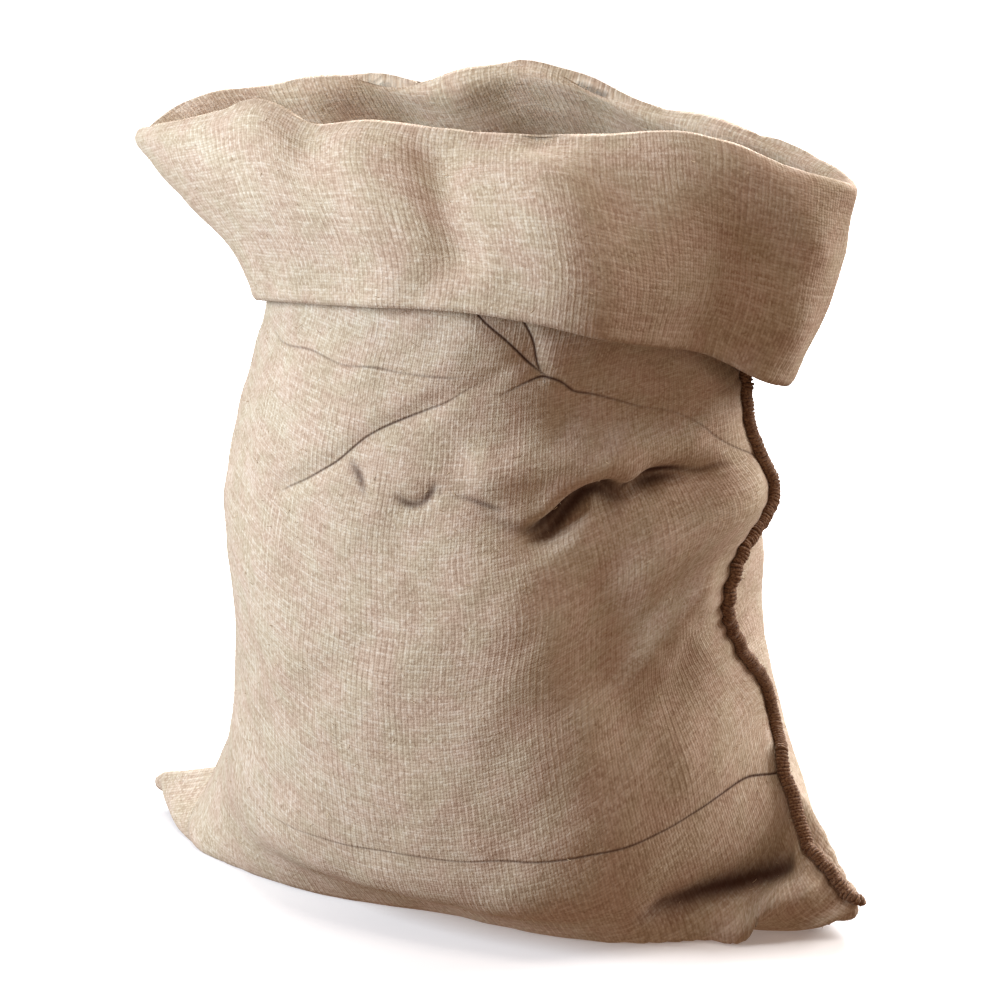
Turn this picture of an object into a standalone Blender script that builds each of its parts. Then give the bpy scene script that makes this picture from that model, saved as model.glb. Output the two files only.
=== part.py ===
"""A hessian sack standing open on its base, with its mouth turned out into a deep cuff.

One cloth is folded down the sack's left side. An overcast seam closes it down the right side and
across the bottom, and stands proud as a ridge. Metres, +Z up, front at -Y. The origin is on the
floor, under the middle of the sack's box.
"""

import math
from collections import namedtuple

import bmesh
import bpy
import numpy as np
from mathutils import Matrix

# ---------------------------------------------------------------------------- driving sizes
# Everything above the last function is in millimetres, and MM turns it into metres.
MM = 0.001
FLAT_WIDTH = 610.0  # the sack laid flat, from the left fold to the side seam
FLAT_HEIGHT = 915.0  # the sack laid flat, from the bottom seam to the hem
MOUTH_TURN = 770.0  # distance along the cloth at which the mouth turns out into the cuff
WALL = 2.0  # thickness of the cloth, with the tables below at the middle of it
GAP = 0.8  # clear space between a seam ridge and the cloth that it lies on
PANEL_COLUMNS = 28  # faces across the front panel, and as many across the back
END_SHARE = 0.3  # how much narrower than the average the faces at a panel's two edges are
LOOP_STEPS = 720  # steps along a section while its length is shared out
SEAM_REACH = 0.22  # share of a panel that shifts when the seam wanders off the side
SEAM_SIDES = 8  # faces round a seam ridge
SEAM_STEP = 15.0  # distance between the sections of the ridge under the base
FLOOR = WALL / 2.0  # lowest place for the middle of the cloth

# ---------------------------------------------------------------------------- the cloth's shape
# A section runs round the sack at one distance along the cloth, counted from the bottom seam.
# left and right are the section's two ends, and front and back the middles of its panels.
# square: 2 is a round end, and more is a boxy one. drop: how soon the edge of the section comes
# to the level of the panel's middle, where under 1 is at once, as on a pinched corner.
# turn: how far the seam stands round to the front of the right end, in degrees.
# A place below the floor is one where the cloth lies flat on it.
Section = namedtuple(
    "Section",
    "along left_x left_z right_x right_z front_y front_z back_y back_z"
    " left_square right_square front_drop back_drop turn",
)
SECTIONS = (
    # the seam under the base and the two corners that stick out of it
    Section(0, -305, 21, 293, 11, -5, 9, 3, 9, 4.0, 4.0, 0.70, 0.70, 0),
    Section(11, -300, 25, 294, 20, -13, 7, 12, 7, 2.6, 2.6, 0.80, 0.80, 0),
    Section(26, -294, 28, 293, 29, -34, -1, 27, -1, 2.8, 2.6, 0.70, 0.80, 3),
    Section(50, -276, 32, 282, 45, -57, -5, 51, -5, 3.0, 2.1, 0.65, 0.75, 6),
    Section(82, -243, 41, 264, 71, -85, -8, 83, -8, 3.2, 2.0, 0.65, 0.75, 8),
    Section(120, -238, 47, 243, 98, -107, -5, 118, -6, 3.2, 2.6, 0.70, 0.80, 2),
    # the body, from the round of the base up to the neck
    Section(160, -221, 95, 224, 127, -140, 23, 150, 9, 2.8, 2.7, 0.90, 1.0, 0),
    Section(205, -206, 136, 204, 160, -178, 42, 172, 42, 2.5, 2.7, 1.6, 1.6, -4),
    Section(260, -200, 182, 195, 206, -192, 94, 180, 94, 2.2, 2.3, 2.4, 2.4, 1),
    Section(330, -204, 242, 192, 262, -193, 164, 178, 164, 2.1, 2.1, 2.4, 2.4, 9),
    Section(370, -209, 276, 196, 294, -191, 204, 175, 204, 2.1, 2.1, 2.4, 2.4, 6),
    Section(410, -211, 308, 205, 324, -188, 244, 171, 244, 2.1, 2.1, 2.4, 2.4, -7),
    Section(470, -204, 356, 190, 370, -181, 304, 165, 304, 2.0, 2.0, 2.4, 2.4, -4),
    Section(535, -189, 406, 187, 416, -174, 368, 160, 368, 2.0, 2.0, 2.0, 2.0, -3),
    Section(590, -184, 446, 188, 452, -168, 422, 156, 422, 1.8, 1.9, 1.8, 1.8, 0),
    # the flare under the cuff
    Section(640, -190, 480, 206, 486, -160, 472, 152, 472, 1.7, 1.9, 1.6, 1.6, 0),
    Section(690, -240, 508, 238, 520, -145, 522, 136, 520, 1.7, 1.8, 1.3, 1.6, 0),
    Section(735, -279, 524, 258, 541, -116, 568, 112, 560, 1.75, 1.8, 1.0, 1.6, 0),
    # the turn of the mouth
    Section(764, -296, 538, 269, 558, -103, 594, 103, 584, 1.8, 1.7, 0.90, 1.6, 0),
    Section(MOUTH_TURN, -300, 540, 273, 560, -107, 598, 107, 588, 1.8, 1.7, 0.90, 1.6, 0),
    Section(776, -303, 536, 276, 558, -112, 594, 112, 584, 1.8, 1.7, 0.90, 1.6, 0),
    # the cuff, down to the hem
    Section(802, -290, 519, 272, 536, -131, 580, 128, 570, 1.85, 1.8, 1.0, 1.6, 0),
    Section(840, -257, 497, 265, 502, -155, 554, 150, 545, 1.85, 1.9, 1.2, 1.6, 0),
    Section(880, -214, 468, 252, 456, -172, 520, 166, 512, 1.85, 1.9, 1.3, 1.6, 0),
    Section(FLAT_HEIGHT, -189, 433, 230, 408, -180, 488, 175, 480, 1.9, 1.9, 1.25, 1.8, 0),
)
# The distances along the cloth that get a row of faces.
ROWS = (
    *(0, 11, 26, 38, 50, 66, 82, 101, 120, 140, 160, 182, 205, 232, 260, 295, 330, 370),
    *(405, 440, 470, 500, 530, 560, 590, 620, 650, 680, 710, 735, 752, 764, 770, 776),
    *(788, 806, 830, 855, 885, FLAT_HEIGHT),
)

# A swell moves the cloth round one place. across is counted from the left fold over the front
# panel to the seam at FLAT_WIDTH, and on over the back panel to the fold again.
Swell = namedtuple("Swell", "across along reach_across reach_along x y z")
SWELLS = (
    Swell(925, 770, 55, 110, 0, 0, 20),  # peak of the back rim
    Swell(1068, 770, 45, 110, 0, 0, 14),  # lower peak to its left
    Swell(1168, 770, 62, 110, 0, 0, 24),  # back rim, left
    Swell(740, 770, 80, 110, 0, 0, 2),  # back rim, right
    Swell(176, 772, 40, 60, 0, -4, 13),  # hump of the front rim, left
    Swell(222, 772, 24, 60, 0, 0, -7),  # dip beside it
    Swell(490, 772, 55, 60, 0, -3, 18),  # rise of the front rim, right
    Swell(555, 70, 80, 80, 3, -12, 0),  # right corner, spread forwards
    Swell(470, 120, 90, 70, 0, -3, 0),  # base beside it
    Swell(200, 120, 90, 60, 0, -10, 0),  # base beside the left corner
    Swell(60, 85, 55, 55, -12, -16, 0),  # left corner, spread outwards
    Swell(690, 150, 55, 80, 8, 0, 0),  # back panel, low beside the seam
    Swell(600, 10, 90, 80, 8, -28, 0),  # right corner, pulled forwards
    Swell(230, 915, 110, 60, 0, 9, -8),  # hem, pressed to the body on the left
    Swell(420, 655, 100, 70, 0, -9, 0),  # neck, fullest in front
    Swell(592, 320, 70, 130, 14, -28, 0),  # cloth beside the seam, pulled forwards
    Swell(592, 480, 60, 80, 9, -20, 0),
    Swell(592, 590, 60, 60, 6, -14, 0),
    Swell(340, 650, 55, 32, 0, -5, 0),  # neck beside the dent
)

# A fold is a soft ridge along a path of (across, along) places, or a trough where its height is
# negative. half_width is where it has sunk to about a third.
Fold = namedtuple("Fold", "half_width height path")
FOLDS = (
    # waist crease
    Fold(13, -10, ((414, 466), (428, 472), (442, 483), (458, 488), (474, 478), (503, 472))),
    Fold(12, -5, ((503, 472), (526, 466), (545, 460))),
    Fold(19, 7, ((375, 528), (450, 516), (540, 492))),  # roll that hangs over it
    Fold(36, -10, ((432, 420), (470, 432), (520, 436))),  # hollow under the roll
    Fold(30, -10, ((455, 405), (460, 345))),  # its tail
    Fold(9, -2, ((190, 478), (244, 522), (297, 565), (376, 602))),  # slanting crease
    Fold(12, -3, ((366, 655), (412, 604))),  # dent under the cuff
    Fold(24, -6, ((440, 562), (541, 508))),  # pull towards the seam
    Fold(14, -12, ((470, 147), (503, 139), (539, 124), (574, 106))),  # crease over the corner
    Fold(18, 9, ((520, 104), (552, 90), (584, 70))),  # roll under it
    Fold(90, 15, ((425, 170), (420, 400))),  # the fill, fullest right of the middle
    Fold(26, 8, ((566, 343), (530, 332), (490, 318), (462, 298))),  # crest from the seam's notch
    Fold(26, 5, ((520, 225), (560, 225), (590, 215))),  # swell under it
    Fold(26, 5, ((262, 800), (262, 900))),  # cuff, from left to right
    Fold(20, -5, ((300, 795), (302, 875))),
    Fold(30, 3, ((378, 800), (380, 905))),
    Fold(34, 10, ((438, 815), (440, 892))),
    Fold(35, -17, ((516, 846), (508, 898))),
    Fold(24, 5, ((575, 810), (570, 900))),
    Fold(24, -6, ((1095, 690), (1098, 775))),  # inside of the back panel
    Fold(26, 6, ((1035, 690), (1030, 775))),
    Fold(24, -6, ((972, 680), (975, 770))),
    Fold(28, 6, ((868, 680), (872, 775))),
    Fold(26, -5, ((775, 690), (765, 775))),
    Fold(34, 7, ((700, 330), (790, 430), (900, 470))),  # back panel, slack above the base
    Fold(30, -8, ((720, 420), (820, 500), (960, 520))),
    Fold(34, 6, ((1150, 380), (1050, 430), (930, 420))),
    Fold(32, -6, ((1165, 300), (1080, 250))),
    Fold(40, -7, ((900, 260), (905, 400))),
    Fold(30, -5, ((1000, 800), (1010, 905))),
    Fold(30, -5, ((790, 800), (780, 905))),
)

# The ridge of the side seam: how far it stands out of the cloth and how wide it is. It is pressed
# flat where it goes through the turn of the mouth.
Ridge = namedtuple("Ridge", "along height width")
SIDE_RIDGE = (
    Ridge(8, 5.0, 5.0),
    Ridge(40, 8.5, 5.6),
    Ridge(690, 9.0, 5.6),
    Ridge(735, 4.0, 6.0),
    Ridge(764, 1.6, 3.6),
    Ridge(790, 1.8, 3.2),
    Ridge(830, 4.0, 4.4),
    Ridge(912, 5.0, 5.0),
)
BOTTOM_RIDGE_HEIGHT = 4.4
BOTTOM_RIDGE_WIDTH = 8.0
BOTTOM_RIDGE_INSET = 20.0  # from the corners of the sack

# ---------------------------------------------------------------------------- finishes
HESSIAN = ("hessian", (0.565, 0.415, 0.285), 0.95)
SEAM_THREAD = ("brown jute overcasting", (0.175, 0.098, 0.060), 0.92)


def eased(knots, values, at):
    """Values between the knots of a table, on a smooth curve through them."""
    knots = np.asarray(knots, float)
    values = np.asarray(values, float)
    step = np.diff(knots)
    slope = np.diff(values) / step
    inner = (slope[:-1] * step[1:] + slope[1:] * step[:-1]) / (step[1:] + step[:-1])
    tangent = np.concatenate([slope[:1], inner, slope[-1:]])
    cell = np.clip(np.searchsorted(knots, at, side="right") - 1, 0, len(step) - 1)
    share = (at - knots[cell]) / step[cell]
    rest = 1.0 - share
    start = values[cell] * (1.0 + 2.0 * share) * rest**2
    end = values[cell + 1] * (3.0 - 2.0 * share) * share**2
    bend = tangent[cell] * rest - tangent[cell + 1] * share
    return start + end + bend * step[cell] * share * rest


def section_at(along):
    """The section at a distance along the cloth, eased between the rows of SECTIONS."""
    table = np.array(SECTIONS, float)
    values = [eased(table[:, 0], column, along) for column in table[:, 1:].T]
    return Section(along, *values)


def section_points(section, angle):
    """Points of a section, for angles from 0 at the right end, over the front at +90 degrees."""
    run = np.cos(angle)
    side = np.sin(angle)
    front = side >= 0.0
    power = 2.0 / np.where(run < 0.0, section.left_square, section.right_square)
    reach = np.sign(run) * np.abs(run) ** power
    depth = np.minimum(np.abs(side) ** power, 1.0)
    drop = np.where(front, section.front_drop, section.back_drop)
    soon = 1.0 - (1.0 - depth) ** (1.0 / drop)
    level = np.where(drop < 1.0, soon, depth**drop)
    end_z = section.left_z + (section.right_z - section.left_z) * (reach + 1.0) / 2.0
    middle_z = np.where(front, section.front_z, section.back_z)
    middle_x = (section.left_x + section.right_x) / 2.0
    half_width = (section.right_x - section.left_x) / 2.0
    x = middle_x + half_width * reach
    y = depth * np.where(front, section.front_y, section.back_y)
    z = end_z * (1.0 - level) + middle_z * level
    return np.stack([x, y, z], axis=-1)


def panel_shares(count):
    """The columns' places across a panel, 0 at the left fold to 1 at the seam, close at both."""
    even = np.linspace(0.0, 1.0, count + 1)
    return even - END_SHARE * np.sin(math.tau * even) / math.tau


def panel_points(section, side, share):
    """Points of one panel's half of a section, at shares of its length from the left fold."""
    sweep = side * np.linspace(math.pi, 0.0, LOOP_STEPS + 1)
    steps = np.linalg.norm(np.diff(section_points(section, sweep), axis=0), axis=1)
    length = np.concatenate([[0.0], np.cumsum(steps)])
    angle = np.interp(share * length[-1], length, sweep)
    near = np.clip(1.0 - (1.0 - share) / SEAM_REACH, 0.0, 1.0)
    angle += math.radians(section.turn) * near**2 * (3.0 - 2.0 * near)
    return section_points(section, angle)


def bare_cloth(rows, count):
    """The middle of the cloth before swells and folds, an array of rows by columns by 3."""
    share = panel_shares(count)
    loops = []
    for along in rows:
        section = section_at(along)
        front = panel_points(section, 1.0, share)
        back = panel_points(section, -1.0, share)
        loops.append(np.concatenate([front, back[-2:0:-1]]))
    return np.array(loops)


def outward(cloth):
    """Unit normals of the cloth, away from the inside of the body."""
    round_way = np.roll(cloth, -1, axis=1) - np.roll(cloth, 1, axis=1)
    normal = np.cross(round_way, np.gradient(cloth, axis=0))
    return normal / np.linalg.norm(normal, axis=2, keepdims=True)


def away_round(across, centre):
    """Distance round the sack from a place, the short way."""
    whole = 2.0 * FLAT_WIDTH
    return (across - centre + FLAT_WIDTH) % whole - FLAT_WIDTH


def distance_to_path(across, along, path):
    """Distance on the flat cloth to the nearest part of a path of (across, along) places."""
    nearest = np.full(np.broadcast(across, along).shape, np.inf)
    for (u0, v0), (u1, v1) in zip(path[:-1], path[1:]):
        du = away_round(across, u0)
        dv = along - v0
        length = (u1 - u0) ** 2 + (v1 - v0) ** 2
        share = np.clip((du * (u1 - u0) + dv * (v1 - v0)) / length, 0.0, 1.0)
        nearest = np.minimum(nearest, np.hypot(du - share * (u1 - u0), dv - share * (v1 - v0)))
    return nearest


def shaped_cloth(rows, count):
    """The middle of the cloth with its swells and folds, and no lower than the floor allows."""
    cloth = bare_cloth(rows, count)
    front = panel_shares(count) * FLAT_WIDTH
    across = np.concatenate([front, 2.0 * FLAT_WIDTH - front[-2:0:-1]])[None, :]
    along = np.asarray(rows, float)[:, None]
    for swell in SWELLS:
        across_share = away_round(across, swell.across) / swell.reach_across
        along_share = (along - swell.along) / swell.reach_along
        weight = np.exp(-(across_share**2) - along_share**2)
        cloth += weight[..., None] * np.array([swell.x, swell.y, swell.z], float)
    height = np.zeros((len(rows), 2 * count))
    for fold in FOLDS:
        distance = distance_to_path(across, along, fold.path)
        height += fold.height * np.exp(-((distance / fold.half_width) ** 2))
    # The outside of the body becomes the inside of the cuff, so a swell on the cuff is turned.
    turned = np.where(along > MOUTH_TURN, -1.0, 1.0)
    cloth += outward(cloth) * (height * turned)[..., None]
    cloth[..., 2] = np.maximum(cloth[..., 2], FLOOR)
    return cloth


def new_material(name, colour, roughness):
    """A plain Principled material."""
    material = bpy.data.materials.new(name)
    material.use_nodes = True
    shader = material.node_tree.nodes["Principled BSDF"]
    shader.inputs["Base Color"].default_value = (*colour, 1.0)
    shader.inputs["Roughness"].default_value = roughness
    shader.inputs["Metallic"].default_value = 0.0
    return material


def new_part(name, points, faces, finish, collection):
    """A mesh object in a collection, with its normals facing out, from points in millimetres."""
    mesh = bpy.data.meshes.new(name)
    mesh.from_pydata([tuple(point) for point in np.asarray(points) * MM], [], faces)
    shape = bmesh.new()
    shape.from_mesh(mesh)
    bmesh.ops.recalc_face_normals(shape, faces=shape.faces)
    shape.to_mesh(mesh)
    shape.free()
    mesh.shade_smooth()
    mesh.materials.append(new_material(*finish))
    part = bpy.data.objects.new(name, mesh)
    collection.objects.link(part)
    return part


def rings_as_tube(rings):
    """Faces of a closed tube through rings of points, with a cap at each end."""
    sides = len(rings[0])
    faces = []
    for ring in range(len(rings) - 1):
        for side in range(sides):
            after = (side + 1) % sides
            low, high = ring * sides, (ring + 1) * sides
            faces.append((low + side, low + after, high + after, high + side))
    faces.append(tuple(reversed(range(sides))))
    faces.append(tuple(range((len(rings) - 1) * sides, len(rings) * sides)))
    return faces


def oval(centre, out, sideways, height, width):
    """A ring of points round a centre, with its height along one direction."""
    turn = np.arange(SEAM_SIDES)[:, None] * math.tau / SEAM_SIDES + math.pi / SEAM_SIDES
    tall = np.cos(turn) * height / 2.0 * out
    wide = np.sin(turn) * width / 2.0 * sideways
    return centre + tall + wide


def build_cloth(collection):
    """The cloth: the base, both panels and the cuff in one piece, with an even wall."""
    cloth = shaped_cloth(ROWS, PANEL_COLUMNS)
    columns = 2 * PANEL_COLUMNS
    faces = []
    for row in range(len(ROWS) - 1):
        for column in range(columns):
            after = (column + 1) % columns
            low, high = row * columns, (row + 1) * columns
            faces.append((low + column, low + after, high + after, high + column))
    # The bottom is closed by a strip between the front and the back panel.
    for column in range(PANEL_COLUMNS):
        strip = (column, columns - column, columns - column - 1, column + 1)
        faces.append(tuple(dict.fromkeys(point % columns for point in strip)))
    part = new_part("sack_cloth", cloth.reshape(-1, 3), faces, HESSIAN, collection)
    wall = part.modifiers.new("wall", "SOLIDIFY")
    wall.thickness = WALL * MM
    wall.offset = 0.0
    return part


def build_side_seam(collection):
    """The ridge of the side seam, from the right corner up the body and down inside the cuff."""
    cloth = shaped_cloth(ROWS, PANEL_COLUMNS)
    normals = outward(cloth)
    table = np.array(SIDE_RIDGE, float)
    rings = []
    for row in range(1, len(ROWS)):
        point, out = cloth[row, PANEL_COLUMNS], normals[row, PANEL_COLUMNS]
        ahead = cloth[min(row + 1, len(ROWS) - 1), PANEL_COLUMNS]
        behind = cloth[row - 1, PANEL_COLUMNS]
        sideways = np.cross(out, ahead - behind)
        sideways /= np.linalg.norm(sideways)
        height = np.interp(ROWS[row], table[:, 0], table[:, 1])
        width = np.interp(ROWS[row], table[:, 0], table[:, 2])
        centre = point + out * (WALL / 2.0 + GAP + height / 2.0)
        rings.append(oval(centre, out, sideways, height, width))
    faces = rings_as_tube(rings)
    return new_part("side_seam", np.concatenate(rings), faces, SEAM_THREAD, collection)


def build_bottom_seam(collection):
    """The ridge of the bottom seam, in the groove under the base from corner to corner."""
    row = shaped_cloth(ROWS[:2], PANEL_COLUMNS)[0]
    front, back = row[: PANEL_COLUMNS + 1], np.roll(row[::-1], 1, axis=0)[: PANEL_COLUMNS + 1]
    middle = (front + back) / 2.0
    left, right = middle[0, 0] + BOTTOM_RIDGE_INSET, middle[-1, 0] - BOTTOM_RIDGE_INSET
    drop = WALL / 2.0 + GAP + BOTTOM_RIDGE_HEIGHT / 2.0
    up, forwards = np.array([0.0, 0.0, 1.0]), np.array([0.0, -1.0, 0.0])
    rings = []
    for x in np.linspace(left, right, int((right - left) / SEAM_STEP) + 1):
        y = np.interp(x, middle[:, 0], middle[:, 1])
        z = np.interp(x, middle[:, 0], middle[:, 2]) - drop
        centre = np.array([x, y, z])
        rings.append(oval(centre, up, forwards, BOTTOM_RIDGE_HEIGHT, BOTTOM_RIDGE_WIDTH))
    faces = rings_as_tube(rings)
    return new_part("bottom_seam", np.concatenate(rings), faces, SEAM_THREAD, collection)


def centre_on_floor(parts):
    """Moves the meshes so that the origin is on the floor under the middle of their box."""
    bpy.context.view_layer.update()
    graph = bpy.context.evaluated_depsgraph_get()
    corners = []
    for part in parts:
        mesh = part.evaluated_get(graph).to_mesh()
        corners += [tuple(vertex.co) for vertex in mesh.vertices]
        part.evaluated_get(graph).to_mesh_clear()
    low, high = np.min(corners, axis=0), np.max(corners, axis=0)
    middle = (low + high) / 2.0
    for part in parts:
        part.data.transform(Matrix.Translation((-middle[0], -middle[1], -low[2])))


def main():
    for old in list(bpy.data.objects):
        bpy.data.objects.remove(old, do_unlink=True)
    collection = bpy.data.collections.new("hessian_sack")
    bpy.context.scene.collection.children.link(collection)
    parts = [
        build_cloth(collection),
        build_side_seam(collection),
        build_bottom_seam(collection),
    ]
    centre_on_floor(parts)


if __name__ == "__main__":
    main()
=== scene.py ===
"""Looks of a hessian sack that stands open on its base, with its mouth turned out into a cuff.

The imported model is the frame. One cloth, shaped in millimetres on its own flat cut, replaces the
plain cloth, and overcast stitches replace the two plain seam ridges. MM turns the last result of
each piece into metres.
"""

from __future__ import annotations

import logging
import math
from collections.abc import Callable
from dataclasses import dataclass
from enum import Enum
from functools import partial
from typing import NamedTuple

import bmesh
import bpy
import numpy as np
from bpy.types import Material, Mesh, Node, NodeSocket, NodeTree, Object
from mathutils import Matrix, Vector


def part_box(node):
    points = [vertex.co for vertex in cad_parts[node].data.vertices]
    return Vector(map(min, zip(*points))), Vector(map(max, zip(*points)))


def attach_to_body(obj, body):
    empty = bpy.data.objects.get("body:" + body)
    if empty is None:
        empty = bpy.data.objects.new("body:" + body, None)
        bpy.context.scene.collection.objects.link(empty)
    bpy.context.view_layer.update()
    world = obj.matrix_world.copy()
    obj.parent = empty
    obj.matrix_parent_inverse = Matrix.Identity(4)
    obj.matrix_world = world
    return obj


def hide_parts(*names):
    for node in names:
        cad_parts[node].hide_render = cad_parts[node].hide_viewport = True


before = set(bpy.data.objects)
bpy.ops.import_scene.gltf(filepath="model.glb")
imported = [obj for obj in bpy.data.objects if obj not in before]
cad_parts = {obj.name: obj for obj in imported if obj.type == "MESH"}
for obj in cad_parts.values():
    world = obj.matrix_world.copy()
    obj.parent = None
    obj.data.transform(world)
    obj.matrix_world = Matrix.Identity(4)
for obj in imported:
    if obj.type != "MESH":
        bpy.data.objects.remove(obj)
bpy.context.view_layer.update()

LOG = logging.getLogger("hessian_sack")
MM = 0.001
ROOT = "root"
MATH = "ShaderNodeMath"
VECTOR = "ShaderNodeVectorMath"
NOISE = "ShaderNodeTexNoise"
MIX = "ShaderNodeMix"
RANGE = "ShaderNodeMapRange"
RAMP = "ShaderNodeValToRGB"
BUMP = "ShaderNodeBump"
RANDOM = "FunctionNodeRandomValue"
VIEW_HEIGHT = 0.29  # how far above the floor the camera and the lamps point, in metres
Inputs = dict[str | int, object] | tuple
Faces = list[tuple[int, ...]]
Adder = Callable[..., NodeSocket]  # add_node, tied to one tree


# --- cloth tables
class Section(NamedTuple):
    """A loop round the sack at one distance along the cloth from the bottom seam."""

    along: float
    left_x: float
    left_z: float
    right_x: float
    right_z: float
    front_y: float
    front_z: float
    back_y: float
    back_z: float
    left_square: float
    right_square: float
    front_drop: float
    back_drop: float
    turn: float


class Swell(NamedTuple):
    """A soft shift of the cloth round one place of the flat cut."""

    across: float
    along: float
    reach_across: float
    reach_along: float
    x: float
    y: float
    z: float


class Fold(NamedTuple):
    """A broad soft ridge along a path of (across, along) places, or a trough if negative."""

    half_width: float
    height: float
    path: tuple[tuple[float, float], ...]


class CreaseLayer(Enum):
    """The attribute that carries a crease. Creases that meet are on different layers."""

    FIRST = "crease_first"
    SECOND = "crease_second"
    THIRD = "crease_third"


class Crease(NamedTuple):
    """A sharp crease along a path of (across, along, strength) places.

    The trough has half_width and depth, step lifts the cloth on the path's left over the cloth
    on its right, and line is the half width of the line of painted shade in its bottom.
    """

    layer: CreaseLayer
    half_width: float
    depth: float
    step: float
    line: float
    path: tuple[tuple[float, float, float], ...]


class Ridge(NamedTuple):
    """The ridge of the side seam at one place along the cloth."""

    along: float
    height: float
    width: float


SECTIONS: tuple[Section, ...] = (
    # the seam under the base and the two corners that stick out of it
    Section(0, -305, 21, 293, 20, -5, 9, 3, 9, 4.0, 4.0, 0.70, 0.70, 0),
    Section(11, -300, 25, 294, 28, -13, 7, 12, 7, 2.6, 2.6, 0.80, 0.80, 0),
    Section(26, -294, 28, 293, 34, -34, -1, 27, -1, 2.8, 2.6, 0.70, 0.80, 3),
    Section(50, -276, 32, 282, 45, -57, -5, 51, -5, 3.0, 2.1, 0.65, 0.75, 6),
    Section(82, -243, 41, 264, 71, -85, -8, 83, -8, 3.2, 2.0, 0.65, 0.75, 8),
    Section(120, -238, 47, 243, 98, -107, -5, 118, -6, 3.2, 2.6, 0.70, 0.80, 2),
    # the body, from the round of the base up to the neck
    Section(160, -221, 95, 224, 127, -140, 23, 150, 9, 2.8, 2.7, 0.90, 1.0, 0),
    Section(205, -206, 136, 204, 160, -178, 42, 172, 42, 2.5, 2.7, 1.6, 1.6, -4),
    Section(260, -200, 182, 195, 206, -192, 94, 180, 94, 2.2, 2.3, 2.4, 2.4, 1),
    Section(330, -204, 242, 192, 262, -193, 164, 178, 164, 2.1, 2.1, 2.4, 2.4, 9),
    Section(370, -209, 276, 196, 294, -191, 204, 175, 204, 2.1, 2.1, 2.4, 2.4, 6),
    Section(410, -211, 308, 205, 324, -188, 244, 171, 244, 2.1, 2.1, 2.4, 2.4, -7),
    Section(470, -204, 356, 190, 370, -181, 304, 165, 304, 2.0, 2.0, 2.4, 2.4, -4),
    Section(535, -189, 406, 187, 416, -174, 368, 160, 368, 2.0, 2.0, 2.0, 2.0, -3),
    Section(590, -184, 446, 188, 452, -168, 422, 156, 422, 1.8, 1.9, 1.8, 1.8, 0),
    # the flare under the cuff
    Section(640, -190, 480, 206, 486, -160, 472, 152, 472, 1.7, 1.9, 1.6, 1.6, 0),
    Section(690, -240, 508, 238, 520, -145, 522, 136, 520, 1.7, 1.8, 1.3, 1.6, 0),
    Section(735, -279, 524, 258, 541, -116, 568, 112, 560, 1.75, 1.8, 1.0, 1.6, 0),
    # the turn of the mouth
    Section(764, -296, 538, 269, 558, -103, 594, 103, 584, 1.8, 1.7, 0.90, 1.6, 0),
    Section(770, -300, 540, 273, 560, -107, 598, 107, 588, 1.8, 1.7, 0.90, 1.6, 0),
    Section(776, -303, 536, 276, 558, -112, 594, 112, 584, 1.8, 1.7, 0.90, 1.6, 0),
    # the cuff, down to the hem
    Section(802, -290, 519, 272, 536, -131, 580, 128, 570, 1.85, 1.8, 1.0, 1.6, 0),
    Section(840, -257, 497, 265, 502, -155, 554, 150, 545, 1.85, 1.9, 1.2, 1.6, 0),
    Section(880, -214, 468, 252, 456, -172, 520, 166, 512, 1.85, 1.9, 1.3, 1.6, 0),
    Section(915, -189, 433, 230, 408, -180, 488, 175, 480, 1.9, 1.9, 1.25, 1.8, 0),
)

SWELLS: tuple[Swell, ...] = (
    Swell(925, 770, 55, 110, 0, 0, 20),  # peak of the back rim
    Swell(1068, 770, 45, 110, 0, 0, 14),  # lower peak to its left
    Swell(1168, 770, 62, 110, 0, 0, 24),  # back rim, left
    Swell(740, 770, 80, 110, 0, 0, 2),  # back rim, right
    Swell(176, 772, 40, 60, 0, -4, 13),  # hump of the front rim, left
    Swell(222, 772, 24, 60, 0, 0, -7),  # dip beside it
    Swell(490, 772, 55, 60, 0, -3, 18),  # rise of the front rim, right
    Swell(555, 70, 80, 80, 3, -12, 0),  # right corner, spread forwards
    Swell(470, 120, 90, 70, 0, -3, 0),  # base beside it
    Swell(200, 120, 90, 60, 0, -10, 0),  # base beside the left corner
    Swell(60, 85, 55, 55, -12, -16, 0),  # left corner, spread outwards
    Swell(690, 150, 55, 80, 8, 0, 0),  # back panel, low beside the seam
    Swell(600, 10, 90, 80, 8, -28, 0),  # right corner, pulled forwards
    Swell(230, 915, 110, 60, 0, 9, -8),  # hem, pressed to the body on the left
    Swell(420, 655, 100, 70, 0, -9, 0),  # neck, fullest in front
    Swell(592, 320, 70, 130, 14, -28, 0),  # cloth beside the seam, pulled forwards
    Swell(592, 480, 60, 80, 9, -20, 0),
    Swell(592, 590, 60, 60, 6, -14, 0),
    Swell(340, 650, 55, 32, 0, -5, 0),  # neck beside the dent
    Swell(505, 672, 55, 34, 0, 12, 0),  # neck behind the cuff's hollow
)

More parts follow.
